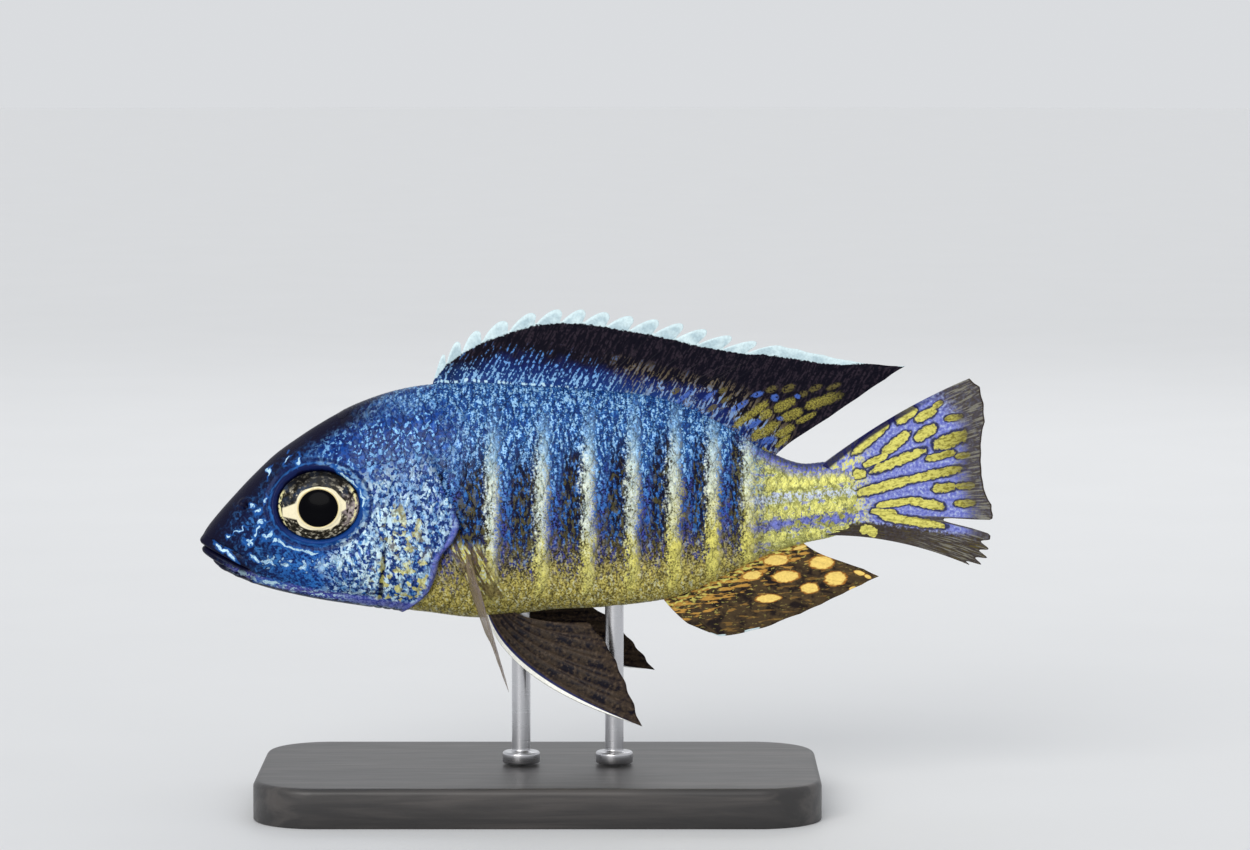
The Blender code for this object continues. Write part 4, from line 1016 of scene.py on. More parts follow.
def eye_mesh(name, side, material):
    """A turned form about the eye's axis: wall, iris, raised pupil margin and lens."""
    pupil = PUPIL_RADIUS / EYE_LONG
    rim = EYE_PROUD * (1 - pupil**2)
    lens_foot = rim - IRIS_SUNK
    profile = list(EYE_WALL)
    for out in np.linspace(0.97, pupil + 0.1, 22):
        profile.append((out, EYE_PROUD * (1 - out**2) - IRIS_SUNK))
    profile += [(pupil + 0.07, rim + 0.02), (pupil + 0.04, rim + 0.06), (pupil + 0.012, rim + 0.03)]
    for bend in np.linspace(0.0, math.pi / 2 - 0.03, 18):
        rise = (EYE_PROUD + LENS_PROUD - lens_foot) * math.sin(bend)
        profile.append((pupil * math.cos(bend), lens_foot + rise))
    share, height = np.array(profile)[:, :, None, None].swapaxes(0, 1)

    outward = np.array([-math.sin(EYE_FORWARD), side * math.cos(EYE_FORWARD), math.sin(EYE_UPWARD)])
    outward /= np.linalg.norm(outward)
    upward = np.array([0.0, 0.0, 1.0]) - outward * outward[2]
    upward /= np.linalg.norm(upward)
    forward = np.cross(upward, outward)
    centre = np.array([EYE_CENTRE[0], side * float(flank(*map(np.float64, EYE_CENTRE))), EYE_CENTRE[1]])
    turn = 2 * math.pi * np.arange(EYE_TURNS)[:, None] / EYE_TURNS
    drift = np.clip((1 - share) / (1 - pupil), 0.0, 1.0)
    ways = forward * EYE_LONG * np.cos(turn) + upward * (EYE_HIGH + PUPIL_ROUNDER * drift) * np.sin(turn)
    aside = forward * PUPIL_SHIFT[0] + upward * PUPIL_SHIFT[1]
    grid = centre + ways * share + outward * height + aside * drift
    points = np.concatenate([grid.reshape(-1, 3), grid[:1].mean(axis=1), grid[-1:].mean(axis=1)])

    rearward = np.sign(forward[0]) * np.cos(turn)
    iris = np.concatenate([share * np.ones_like(turn), share * rearward, share * np.sin(turn)], -1)
    iris = np.concatenate([iris.reshape(-1, 3), [[1.0, 0.0, 0.0], [0.0, 0.0, 0.0]]])
    groups = closed_rings(*grid.shape[:2])
    if side < 0:
        groups = [faces[:, ::-1] for faces in groups]
    return make_mesh(name, in_frame(points), groups, material, {"iris": iris})


def eye_finish():
    f = Finish("wet eye")
    spot = f.attribute("iris")
    out, rearward, high = spot.parts()
    speck = f.noise(spot, 9.0, 3)
    blotch = f.noise(spot, 3.0, 2)

    # The iris: umber, steely above, pearly behind, with pale specks, a pale outer edge and painted shade
    # darkening its top.
    colour = f.paint(IRIS_DARK, IRIS_UMBER, speck.above(0.46, 0.58))
    colour = f.paint(colour, IRIS_STEEL, high.above(-0.2, 0.5) * blotch.above(0.45, 0.6) * 0.7)
    pearl = (rearward * 0.9 - abs(high + 0.15) + blotch.stray(2)).above(0.1, 0.7)
    colour = f.paint(colour, IRIS_PEARL, pearl * speck.above(0.34, 0.46) * 0.95)
    colour = f.paint(colour, IRIS_SPECK, speck.above(0.57, 0.63) * 0.85)
    # Painted shade: the top of the iris darkened nearly to the pupil's black.
    colour = f.paint(colour, PUPIL_BLACK, (high + speck.stray(0.5)).above(0.5, 0.68) * 0.85)
    sides = abs(rearward + 0.02).above(0.72, 0.86) * out.near(0.95, 0.015, 0.03) * high.below(0.4, 0.55)
    colour = f.paint(colour, IRIS_EDGE, sides * speck.above(0.42, 0.52))

    # The cream ring, drawn out to a blunt wedge in front, a sharp one behind and a spot below.
    ahead = rearward + 0.88
    front = (abs(high + 0.14 - ahead * 0.2) - ahead * 0.3).below(0.1, 0.15)
    front = front * ahead.above(-0.02, 0.01) * rearward.below(-0.46, -0.42)
    behind = 0.7 - rearward
    rear = (abs(high - behind * 0.4) - behind * 0.8).below(0.06, 0.11)
    rear = rear * behind.above(0.0, 0.02) * rearward.above(0.42, 0.46)
    foot = (abs(rearward - 0.28) + abs(high + 0.55) * 0.6).below(0.03, 0.1)
    colour = f.paint(colour, RING_CREAM, (front + rear + foot * 0.8) * (0.8 + speck * 0.4))
    cornered = (rearward * rearward * rearward * rearward + high * high * high * high) ** 0.25
    ring = out * 0.5 + cornered * 0.54 + blotch.stray(0.06) - high.below(-0.5, 0.0) * 0.06
    colour = f.paint(colour, RING_CREAM, ring.below(0.555, 0.585) * (0.8 + speck * 0.5))
    colour = f.paint(colour, IRIS_GOLD, out.near(0.505, 0.008, 0.02) * 0.6)
    colour = f.paint(colour, PUPIL_BLACK, out.below(0.484, 0.498))
    lens = out.below(0.47, 0.51)
    return f.surface(
        {"Coat Roughness": 0.03, "IOR": 1.35, "Specular IOR Level": 0.03},
        Base_Color=colour,
        Roughness=0.32 - lens * 0.12,
        Coat_Weight=0.1 - lens * 0.08,
        Metallic=speck.above(0.45, 0.65) * 0.3 * out.above(0.5, 0.52),
        Normal=f.bump(speck * out.above(0.5, 0.56), 0.3, 0.1),
    )


eye_material = eye_finish()
for side, label in ((-1, "left"), (1, "right")):
    piece = eye_mesh(f"eyeball_{label}", side, eye_material)
    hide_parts(f"eye_{label}")
    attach(piece, "root")

# The dorsal fin: fifteen stiff spines, each with a pale flag of skin behind its tip, then eleven
# soft rays drawn out to a point. A film of skin joins them, rooted in a low sheath along the back.
FIN_SINK = 1.3
DORSAL_SPINES = 15
DORSAL_ROOT = (33.4, 79.8)
DORSAL_SPINE_STEP = 2.18
DORSAL_TIPS = np.array(
    [(33.9, 20.1), (35.9, 22.3), (38.2, 23.7), (41.1, 25.0), (44.9, 26.1), (48.7, 26.9), (52.2, 26.9)]
    + [(55.3, 26.6), (58.5, 25.9), (61.6, 25.1), (64.8, 24.3), (67.8, 23.4), (70.8, 22.4), (74.2, 21.5)]
    + [(77.5, 20.7), (80.4, 20.4), (82.2, 21.5), (84.6, 20.8), (88.2, 19.7), (92.0, 18.6), (95.8, 17.8)]
    + [(99.5, 17.3), (96.6, 15.7), (92.6, 13.4), (88.3, 10.9), (84.2, 8.7)]
)
FLAG_LENGTH = 2.05
FLAG_NOTCH = (0.9, 0.93, 0.04)
SOFT_CURL = 9.0
FORK_SPREAD = 0.19
TWIG_SPREAD = 0.07
RAY_WIDTH = 0.2
RAY_JOINT_STEP = 0.5
SPINE_COLUMNS = np.concatenate([[0.0, 0.04, 0.09], np.arange(0.16, 0.8, 0.08), np.arange(0.82, 0.99, 0.03)])
SOFT_COLUMNS = np.arange(14) / 14


def ray_between(root, tip, turn_deg):
    """Root, pull and tip of a ray in the middle plane that leaves its root turned from its chord."""
    root, tip = np.array([root[0], 0.0, root[1]]), np.array([tip[0], 0.0, tip[1]])
    chord = tip - root
    lean = math.atan2(chord[2], chord[0]) + math.radians(turn_deg)
    pull = np.array([math.cos(lean), 0.0, math.sin(lean)]) * np.linalg.norm(chord) / 2
    return np.array([root, root + pull, tip])


def fin_grid(rays, columns, reach, rows):
    """Points of a fin from root to edge, at every column of every gap between its rays."""
    number, share = [], []
    for k in range(len(rays)):
        gap = columns(k) if k < len(rays) - 1 else np.zeros(1)
        number += [k] * len(gap)
        share += list(gap)
    number, share = np.array(number), np.array(share)
    after = np.minimum(number + 1, len(rays) - 1)
    rays = np.array(rays)
    drawn = rays[number] * (1 - share)[:, None, None] + rays[after] * share[:, None, None]
    along = np.linspace(0.0, 1.0, rows)[None, :] * reach(number, share)[:, None]
    along = along[..., None]
    root, pull, tip = (drawn[:, k][:, None] for k in range(3))
    grid = root * (1 - along) ** 2 + pull * 2 * along * (1 - along) + tip * along**2
    return grid, number, share, along[..., 0]


def ridges(share, lengthwise, gap_width, soft):
    """Where the rays stand out of the film: soft ones fork twice on their way to the edge."""
    fork = FORK_SPREAD * ramp(lengthwise, 0.4, 0.95) * soft
    twig = TWIG_SPREAD * ramp(lengthwise, 0.7, 1.0) * soft
    total = np.zeros_like(gap_width)
    for way in (fork - twig, fork + twig):
        for centre in (way, 1 - way):
            total = np.maximum(total, bead((share - centre) * gap_width, 1.0, 0.0, RAY_WIDTH))
    return total


def fin_mesh(name, drawn, soft, material, film, root_half, ray_half):
    """A closed thin sheet about the drawn grid, thicker at the root and along the rays.

    film, root_half and ray_half are half thicknesses: between the rays, at the root, and a ray's own.
    """
    grid, number, share, reached = drawn
    columns, rows = grid.shape[:2]
    lengthwise = np.broadcast_to(np.linspace(0.0, 1.0, rows)[None, :], (columns, rows))
    steps = np.linalg.norm(np.gradient(grid, axis=0), axis=2)
    per_gap = np.gradient(number + share)[:, None]
    gap_width = steps / per_gap
    stiff = np.broadcast_to(soft(number)[:, None], (columns, rows))
    ridge = ridges(share[:, None], lengthwise, gap_width, stiff)
    flesh = (root_half - film) * np.clip(1 - lengthwise / 0.3, 0, 1) ** 1.5
    taper = np.clip((1 - lengthwise) * 14, 0.15, 1)
    half = (film + flesh + ray_half * ridge * (1 - 0.55 * lengthwise)) * taper
    normal = np.cross(np.gradient(grid, axis=0), np.gradient(grid, axis=1))
    normal /= np.linalg.norm(normal, axis=2, keepdims=True) + 1e-9
    offset = normal * half[..., None]
    size = columns * rows
    c, r = np.meshgrid(np.arange(columns - 1), np.arange(rows - 1), indexing="ij")
    a, b = c * rows + r, (c + 1) * rows + r
    front = np.stack([a, b, b + 1, a + 1], -1).reshape(-1, 4)
    rim = [i * rows for i in range(columns)] + [(columns - 1) * rows + j for j in range(1, rows)]
    rim += [i * rows + rows - 1 for i in range(columns - 2, -1, -1)] + list(range(rows - 2, 0, -1))
    here, there = np.array(rim), np.roll(rim, -1)
    sides = np.stack([here, here + size, there + size, there], -1)
    lengths = np.linalg.norm(np.diff(grid, axis=1), axis=2)
    from_root = np.concatenate([np.zeros((columns, 1)), np.cumsum(lengths, axis=1)], axis=1)
    to_edge = from_root[:, -1:] - from_root
    ray = np.broadcast_to((number + share)[:, None], (columns, rows))
    markers = {
        "fish": np.concatenate([grid.reshape(-1, 3)] * 2),
        "fin": np.concatenate([np.stack([ray, from_root, to_edge], -1).reshape(-1, 3)] * 2),
        "ray": np.concatenate([np.stack([ridge, reached, stiff], -1).reshape(-1, 3)] * 2),
    }
    points = np.concatenate([(grid + offset).reshape(-1, 3), (grid - offset).reshape(-1, 3)])
    return make_mesh(name, in_frame(points), (front, size + front[:, ::-1], sides), material, markers)


def dorsal_rays():
    first_soft = DORSAL_ROOT[0] + DORSAL_SPINES * DORSAL_SPINE_STEP
    stations = DORSAL_ROOT[0] + DORSAL_SPINE_STEP * np.arange(DORSAL_SPINES)
    soft_count = len(DORSAL_TIPS) - DORSAL_SPINES
    stations = np.append(stations, np.linspace(first_soft, DORSAL_ROOT[1], soft_count))
    rays = []
    for k, (station, tip) in enumerate(zip(stations, DORSAL_TIPS)):
        root = (station, float(body_at(station)[0]) - FIN_SINK)
        rays.append(ray_between(root, tip, 0.0 if k < DORSAL_SPINES else SOFT_CURL))
    return rays


def dorsal_reach(number, share):
    """The edge: past the spines' tips by a rounded flag behind each, with a notch before the next."""
    lengths = np.array([np.linalg.norm(tip - root) for root, _, tip in dorsal_rays()])
    after = np.minimum(number + 1, len(lengths) - 1)
    length = lengths[number] * (1 - share) + lengths[after] * share
    flag = FLAG_LENGTH * (1 + 0.45 * ramp(number, 7, 11)) * np.sin(math.pi * share**1.2) ** 0.6
    past = flag - bead(share, *FLAG_NOTCH)
    return np.where(number < DORSAL_SPINES, 1 + past / length, 1 - 0.012 * np.sin(math.pi * share))


FIN_BLACK = paint_tin(5, 3, 18)
FIN_BLUE = paint_tin(12, 30, 92)
FIN_STREAK = paint_tin(104, 154, 214)
FLAG_WHITE = paint_tin(212, 232, 236)
DASH_OLIVE = paint_tin(152, 144, 64)
FIN_BROWN = paint_tin(52, 42, 33)
FIN_DUSK = paint_tin(52, 42, 52)
STRAND_BROWN = paint_tin(104, 92, 70)
WISP_BLUE = paint_tin(120, 156, 208)
SMOKE_OLIVE = paint_tin(92, 84, 46)
MARK_BLUE = paint_tin(66, 96, 172)
FLAG_GREY = paint_tin(150, 176, 188)

# Each mark: distance from the snout, height, half length, half width, and its lean in degrees.
DORSAL_OLIVES = (
    (77.5, 12.2, 3.0, 0.55, 31),
    (79.6, 12.0, 1.0, 0.55, 26),
    (82.3, 13.2, 1.7, 0.65, 21),
    (79.4, 9.8, 2.3, 0.68, 25),
    (83.2, 11.7, 1.5, 0.6, 19),
    (85.2, 11.1, 1.5, 0.42, 24),
    (82.1, 9.5, 1.5, 0.55, 23),
    (81.7, 8.1, 1.4, 0.35, 36),
    (79.3, 6.7, 0.9, 0.5, -50),
    (88.0, 13.4, 2.7, 0.7, 16),
)
DORSAL_SMOKES = (
    (80.7, 15.5, 0.9, 0.5, 16),
    (82.9, 15.4, 1.0, 0.5, 22),
    (85.0, 14.5, 0.6, 0.5, 20),
    (86.8, 15.2, 1.0, 0.45, 20),
    (89.3, 15.2, 1.1, 0.4, 18),
    (72.2, 13.5, 0.9, 0.4, 30),
    (74.2, 14.5, 0.9, 0.35, 28),
    (67.3, 16.2, 0.6, 0.4, 30),
    (73.9, 15.8, 0.7, 0.35, 24),
)
DORSAL_BLUES = (
    (78.6, 14.9, 0.9, 0.4, 14),
    (81.0, 14.3, 0.6, 0.6, 40),
    (84.2, 14.2, 0.35, 0.5, 70),
    (76.0, 13.4, 1.5, 0.4, 28),
    (77.8, 10.8, 1.4, 0.45, 27),
    (79.8, 8.4, 1.1, 0.5, 16),
    (81.6, 11.3, 0.3, 0.6, 80),
    (72.0, 15.2, 1.2, 0.35, 32),
    (68.4, 15.3, 1.5, 0.35, 34),
)


def fin_surface(f, colour, ray, from_root, soft, opacity=None):
    """Skin over rays: wet, finely wrinkled, with the soft rays' short joints."""
    wrinkle = f.noise(f.attribute("fish"), 3.0, 3)
    joints = (from_root * (2 * math.pi / RAY_JOINT_STEP)).wave() * ray * soft
    varying = {"Alpha": opacity} if opacity is not None else {}
    return f.surface(
        {"Coat Weight": 0.04, "Coat Roughness": 0.18, "IOR": 1.4, "Specular IOR Level": 0.1},
        Base_Color=f.toned(colour, 0.72 + wrinkle * 0.5),
        Roughness=0.34 + wrinkle * 0.2,
        Normal=f.bump(wrinkle + joints * 0.35, 0.4, 0.1),
        **varying,
    )


def dorsal_finish():
    f = Finish("dorsal fin skin")
    spot = f.attribute("fish")
    along, _, up = spot.parts()
    _, from_root, to_edge = f.attribute("fin").parts()
    ray, reached, soft = f.attribute("ray").parts()
    slow = f.noise(spot, 0.45, 2)
    speck = f.noise(spot, 2.6, 2)
    lean = math.radians(56.0)
    down_ray = along * math.cos(lean) + up * math.sin(lean) + slow.stray(3)
    over_rays = up * math.cos(lean) - along * math.sin(lean)
    strand = f.noise(f.node("CombineXYZ", {}, {"X": down_ray * 0.6, "Y": over_rays * 2.4}), 1.0, 2)

    # Black, blue near the root, and dusky along the strands.
    height = from_root + slow.stray(3)
    lit = (height + along.above(70.0, 79.0) * 3 + along.below(36.0, 44.0) * 4).below(4.0, 6.5)
    colour = f.paint(FIN_BLACK, FIN_BLUE, lit * 0.9)
    colour = f.paint(colour, DEEP_BLUE, (height + along.above(64.0, 74.0) * 4).below(1.5, 5.0) * 0.6)
    colour = f.paint(colour, FIN_DUSK, strand.above(0.46, 0.6) * speck.above(0.36, 0.54) * 0.6)

    # Bright strands rising from the root, with brown and pale blue ones behind them.
    rise = height + along.below(34.0, 44.0) * 3
    bright = (strand - rise * 0.03).above(0.38, 0.48) * along.below(74.0, 82.0) * rise.below(6.0, 8.5)
    colour = f.paint(colour, BRIGHT_BLUE, bright * speck.above(0.4, 0.54) * 0.85)
    broken = strand + speck.stray(0.8)
    streaks = (broken - rise * 0.03).above(0.47, 0.55) * rise.below(4.6, 7.2)
    colour = f.paint(colour, FIN_STREAK, streaks * along.below(66.0, 74.0))
    flecks = broken.above(0.55, 0.61) * (from_root + slow.stray(2)).below(2.4, 4.6)
    colour = f.paint(colour, PALE_BLUE, flecks * along.below(64.0, 74.0) * 0.8)
    brown = (strand + speck * 0.3).above(0.64, 0.72) * along.near(71.0, 9.0, 5.0)
    colour = f.paint(colour, STRAND_BROWN, brown * (from_root + slow * 2).near(4.6, 2.8, 2.0) * 0.75)
    wisps = (strand + speck.stray(0.4)).above(0.56, 0.6) * along.near(72.0, 7.0, 4.0)
    colour = f.paint(colour, WISP_BLUE, wisps * (from_root + slow.stray(2)).near(3.0, 1.6, 1.4) * 0.75)

    # The marks of the soft part, faint ones first.
    ragged = speck.stray(1.6) + (slow - 0.5)
    smokes = nearest_mark(f, spot, DORSAL_SMOKES, 1) + ragged
    colour = f.paint(colour, SMOKE_OLIVE, smokes.below(0.8, 1.2) * speck.above(0.34, 0.56))
    blues = nearest_mark(f, spot, DORSAL_BLUES, 1) + ragged
    colour = f.paint(colour, MARK_BLUE, blues.below(0.7, 1.2) * speck.above(0.36, 0.5))
    olives = nearest_mark(f, spot, DORSAL_OLIVES, 2) + ragged
    grain = f.noise(spot, 5.0, 2)
    olive = f.paint(OLIVE, DASH_OLIVE, grain.above(0.4, 0.54))
    olive = f.paint(olive, OLIVE_BLACK, speck.below(0.38, 0.46) * 0.7)
    on_olives = olives.below(0.7, 1.25) * along.below(86.0, 93.0)
    colour = f.paint(colour, olive, on_olives * (0.6 + grain * 0.6))

    # The beaded line along the root.
    bead_noise = f.noise(f.stretched(spot, (1.0, 0.0, 0.0)), 1.5, 1) + speck.stray(0.3)
    beaded = (from_root + (slow - 0.5)).near(1.5, 0.1, 0.2) * bead_noise.above(0.5, 0.56)
    colour = f.paint(colour, ICE, beaded * along.below(48.0, 62.0))

    # The pale flags, and the pale crest that carries them on over the soft rays.
    past_tips = from_root * (reached - 1) / reached
    flag = (past_tips + speck.stray(0.8)).above(-0.3, -0.05) * (1 - soft)
    under_crest = 21.75 - (along - 80.3) * 0.229 - up + speck.stray(0.6)
    crest = (under_crest - along.below(88.0, 98.0) * 1.35).below(0.0, 0.15)
    tip_line = under_crest.below(0.2, 0.3) * speck.above(0.42, 0.5)
    colour = f.paint(colour, FLAG_WHITE, flag + (crest + tip_line * (1 - crest)) * soft)
    greyer = (flag + crest * soft) * to_edge.above(0.2, 1.1) * slow.above(0.3, 0.6)
    colour = f.paint(colour, FLAG_GREY, greyer * (0.35 + speck * 0.5))
    return fin_surface(f, colour, ray, from_root, soft)


def dorsal_columns(k):
    return SPINE_COLUMNS if k < DORSAL_SPINES else SOFT_COLUMNS


def dorsal_soft(number):
    return (number >= DORSAL_SPINES) * 1.0


drawn = fin_grid(dorsal_rays(), dorsal_columns, dorsal_reach, 72)
dorsal = fin_mesh(
    "fin_dorsal", drawn, dorsal_soft, dorsal_finish(), film=0.13, root_half=0.75, ray_half=0.06
)
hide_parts("dorsal_fin")
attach(dorsal, "root")

# The anal fin: three spines and nine soft rays, dark brown, with the round golden egg spots that a
# male carries, each in a darker ring. It hangs from the belly's rear edge.
ANAL_SPINES = 3
ANAL_ROOT = (62.9, 82.6)
ANAL_TIPS = np.array(
    [(66.8, -16.4), (71.1, -18.5), (75.6, -18.0), (79.4, -17.1), (82.6, -16.2), (85.6, -15.1)]
    + [(88.6, -13.9), (91.4, -12.8), (93.9, -11.8), (91.8, -10.6), (89.0, -9.4), (86.0, -8.1)]
)
# Each spot: distance from the snout, height, half length, half width, and its lean in degrees.
EGG_SPOTS = (
    (79.7, -8.4, 1.75, 0.75, 0),
    (86.0, -9.25, 1.6, 0.92, -3),
    (80.9, -10.8, 1.8, 0.78, 0),
    (87.8, -11.6, 1.45, 0.95, 0),
    (84.1, -12.7, 1.2, 0.7, 0),
    (78.2, -13.7, 1.65, 0.55, 0),
    (76.2, -10.3, 1.3, 0.6, 4),
    (83.1, -6.9, 0.95, 0.25, 10),
    (91.2, -11.1, 0.75, 0.3, -20),
    (92.3, -11.7, 0.5, 0.25, -30),
    (90.1, -13.2, 0.5, 0.25, 10),
)
EGG_CREAM = paint_tin(244, 212, 118)
EGG_RIM = paint_tin(160, 106, 44)
DASH_AMBER = paint_tin(196, 148, 70)
ANAL_BROWN = paint_tin(72, 58, 40)
ANAL_RAY = paint_tin(96, 78, 50)


def anal_finish():
    f = Finish("anal fin skin")
    spot = f.attribute("fish")
    along = spot.parts()[0]
    _, from_root, to_edge = f.attribute("fin").parts()
    ray, _, soft = f.attribute("ray").parts()
    slow = f.noise(spot, 0.5, 3)
    colour = f.paint(ANAL_BROWN, FIN_BLACK, slow.above(0.45, 0.6) * 0.8)
    colour = f.paint(colour, ANAL_RAY, ray * 0.35)
    speck = f.noise(f.stretched(spot, (0.6, 1.0, 1.4)), 2.2, 2)
    lengthwise = f.noise(f.stretched(spot, (0.28, 1.2, 1.5)), 1.5, 3)
    near_body = (from_root + slow.stray(3)).below(2.0, 7.0)
    upper = (from_root + slow.stray(4)).below(4.0, 8.5)
    colour = f.paint(colour, BELLY_GOLD, speck.above(0.6, 0.66) * (0.2 + upper * 0.5))
    dashes = (lengthwise + near_body * 0.1).above(0.57, 0.63) * (0.25 + upper * 0.7)
    colour = f.paint(colour, DASH_AMBER, dashes)
    colour = f.paint(colour, YELLOW, near_body * speck.above(0.5, 0.58) * from_root.below(2.0, 4.0))
    out = nearest_mark(f, spot, EGG_SPOTS, 1) + speck.stray(0.7)
    colour = f.paint(colour, EGG_RIM, out.below(1.06, 1.22))
    colour = f.paint(colour, EGG_CREAM, out.below(0.86, 1.06) * (0.75 + speck * 0.45))
    tips = to_edge.below(0.3, 0.45) * (along.near(70.9, 0.9, 0.3) + along.near(75.7, 0.9, 0.3))
    colour = f.paint(colour, FLAG_WHITE, tips)
    return fin_surface(f, colour, ray, from_root, soft)


def anal_rays():
    rays = []
    for station, tip in zip(np.linspace(*ANAL_ROOT, len(ANAL_TIPS)), ANAL_TIPS):
        root = (station, float(body_at(station)[1]) + FIN_SINK)
        rays.append(ray_between(root, tip, -SOFT_CURL))
    return rays


def anal_reach(number, share):
    return 1 + (0.03 * (number < ANAL_SPINES) - 0.008) * np.sin(math.pi * share)


def anal_soft(number):
    return (number >= ANAL_SPINES) * 1.0


drawn = fin_grid(anal_rays(), lambda k: SOFT_COLUMNS, anal_reach, 64)
anal = fin_mesh("fin_anal", drawn, anal_soft, anal_finish(), film=0.12, root_half=0.65, ray_half=0.13)
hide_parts("anal_fin")
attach(anal, "root")

# The tail fin: sixteen branched rays from the end of the backbone, spread and joined by film. It has
# yellow streaks in dark outlines over lavender, within a smoky border, and one gap is torn.
CAUDAL_ROOT = (91.0, 4.4, -5.4)
CAUDAL_ROOT_CURVE = 4.0
CAUDAL_SPLAY = (1.3, 0.3)
CAUDAL_TIPS = np.array(
    [(108.3, 14.9), (109.7, 13.6), (110.1, 11.2), (110.1, 8.7), (109.5, 6.6), (109.3, 4.3), (109.2, 2.1)]
    + [(109.3, 0.2), (109.6, -1.5), (110.3, -3.0), (110.4, -4.5), (109.8, -7.8), (109.5, -9.2)]
    + [(109.2, -10.4), (108.3, -11.3), (106.6, -11.2)]
)
TORN_GAP = 10
TORN_TO = 0.66
FRAY = 0.06
STREAK_YELLOW = paint_tin(220, 214, 112)
STREAK_OLIVE = paint_tin(132, 124, 52)
FIN_LAVENDER = paint_tin(132, 140, 206)
SMOKE = paint_tin(72, 66, 60)
SMOKE_PALE = paint_tin(150, 148, 132)
TAIL_VIOLET = paint_tin(78, 88, 176)
TAIL_MIST = paint_tin(176, 190, 226)
TAIL_LEMON = paint_tin(226, 224, 128)
STREAK_EDGE = paint_tin(26, 26, 56)
MARGIN_NAVY = paint_tin(12, 10, 66)

# Each streak: distance from the snout, height, half length, half width, and its lean in degrees.
TAIL_STREAKS = (
    (94.0, 7.6, 3.31, 0.67, 36),
    (99.1, 10.5, 1.87, 0.85, 31),
    (101.8, 10.3, 1.72, 0.74, 23),
    (103.7, 11.6, 0.86, 0.42, 27),
    (105.8, 9.6, 1.41, 0.49, 3),
    (97.5, 6.7, 2.50, 0.74, 34),
    (94.5, 4.5, 2.00, 0.56, 20),
    (101.7, 7.8, 1.89, 0.77, 28),
    (97.6, 4.2, 4.21, 0.74, 17),
    (105.2, 6.5, 2.77, 1.02, 16),
    (103.6, 4.4, 2.18, 0.56, 11),
    (106.7, 4.2, 1.13, 0.46, 7),
    (95.6, 0.8, 4.18, 0.74, 10),
    (102.6, 1.9, 4.34, 0.67, 8),
    (103.8, -0.1, 1.74, 0.70, 1),
    (106.8, -0.1, 1.49, 0.56, -1),
    (96.9, -1.7, 2.84, 0.56, 5),
    (101.1, -2.1, 2.83, 0.70, -16),
    (106.6, -2.5, 1.57, 0.56, -1),
    (95.1, -2.8, 1.99, 0.56, -9),
    (99.0, -4.4, 4.77, 0.67, -13),
    (92.9, -5.3, 1.33, 0.81, -20),
    (92.1, 2.8, 0.99, 0.70, 1),
)


def caudal_rays():
    rays = []
    for k, tip in enumerate(CAUDAL_TIPS):
        part = k / (len(CAUDAL_TIPS) - 1)
        height = CAUDAL_ROOT[1] + part * (CAUDAL_ROOT[2] - CAUDAL_ROOT[1])
        root = (CAUDAL_ROOT[0] - CAUDAL_ROOT_CURVE * (2 * part - 1) ** 2, height)
        slope = math.degrees(math.atan2(tip[1] - root[1], tip[0] - root[0]))
        splay = CAUDAL_SPLAY[0] + (CAUDAL_SPLAY[1] - CAUDAL_SPLAY[0]) * part
        rays.append(ray_between(root, tip, slope * (splay - 1)))
    return rays


def caudal_reach(number, share):
    plain = 1 - 0.004 * np.sin(math.pi * share) ** 2
    torn = 1 - (1 - TORN_TO) * np.exp(-(((share - 0.5) / 0.22) ** 4))
    frayed = 1 - FRAY * np.sin(math.pi * share) ** 2
    worn = np.where(number > TORN_GAP, frayed, plain)
    return np.where((number == TORN_GAP) & (share > 0), torn, worn)


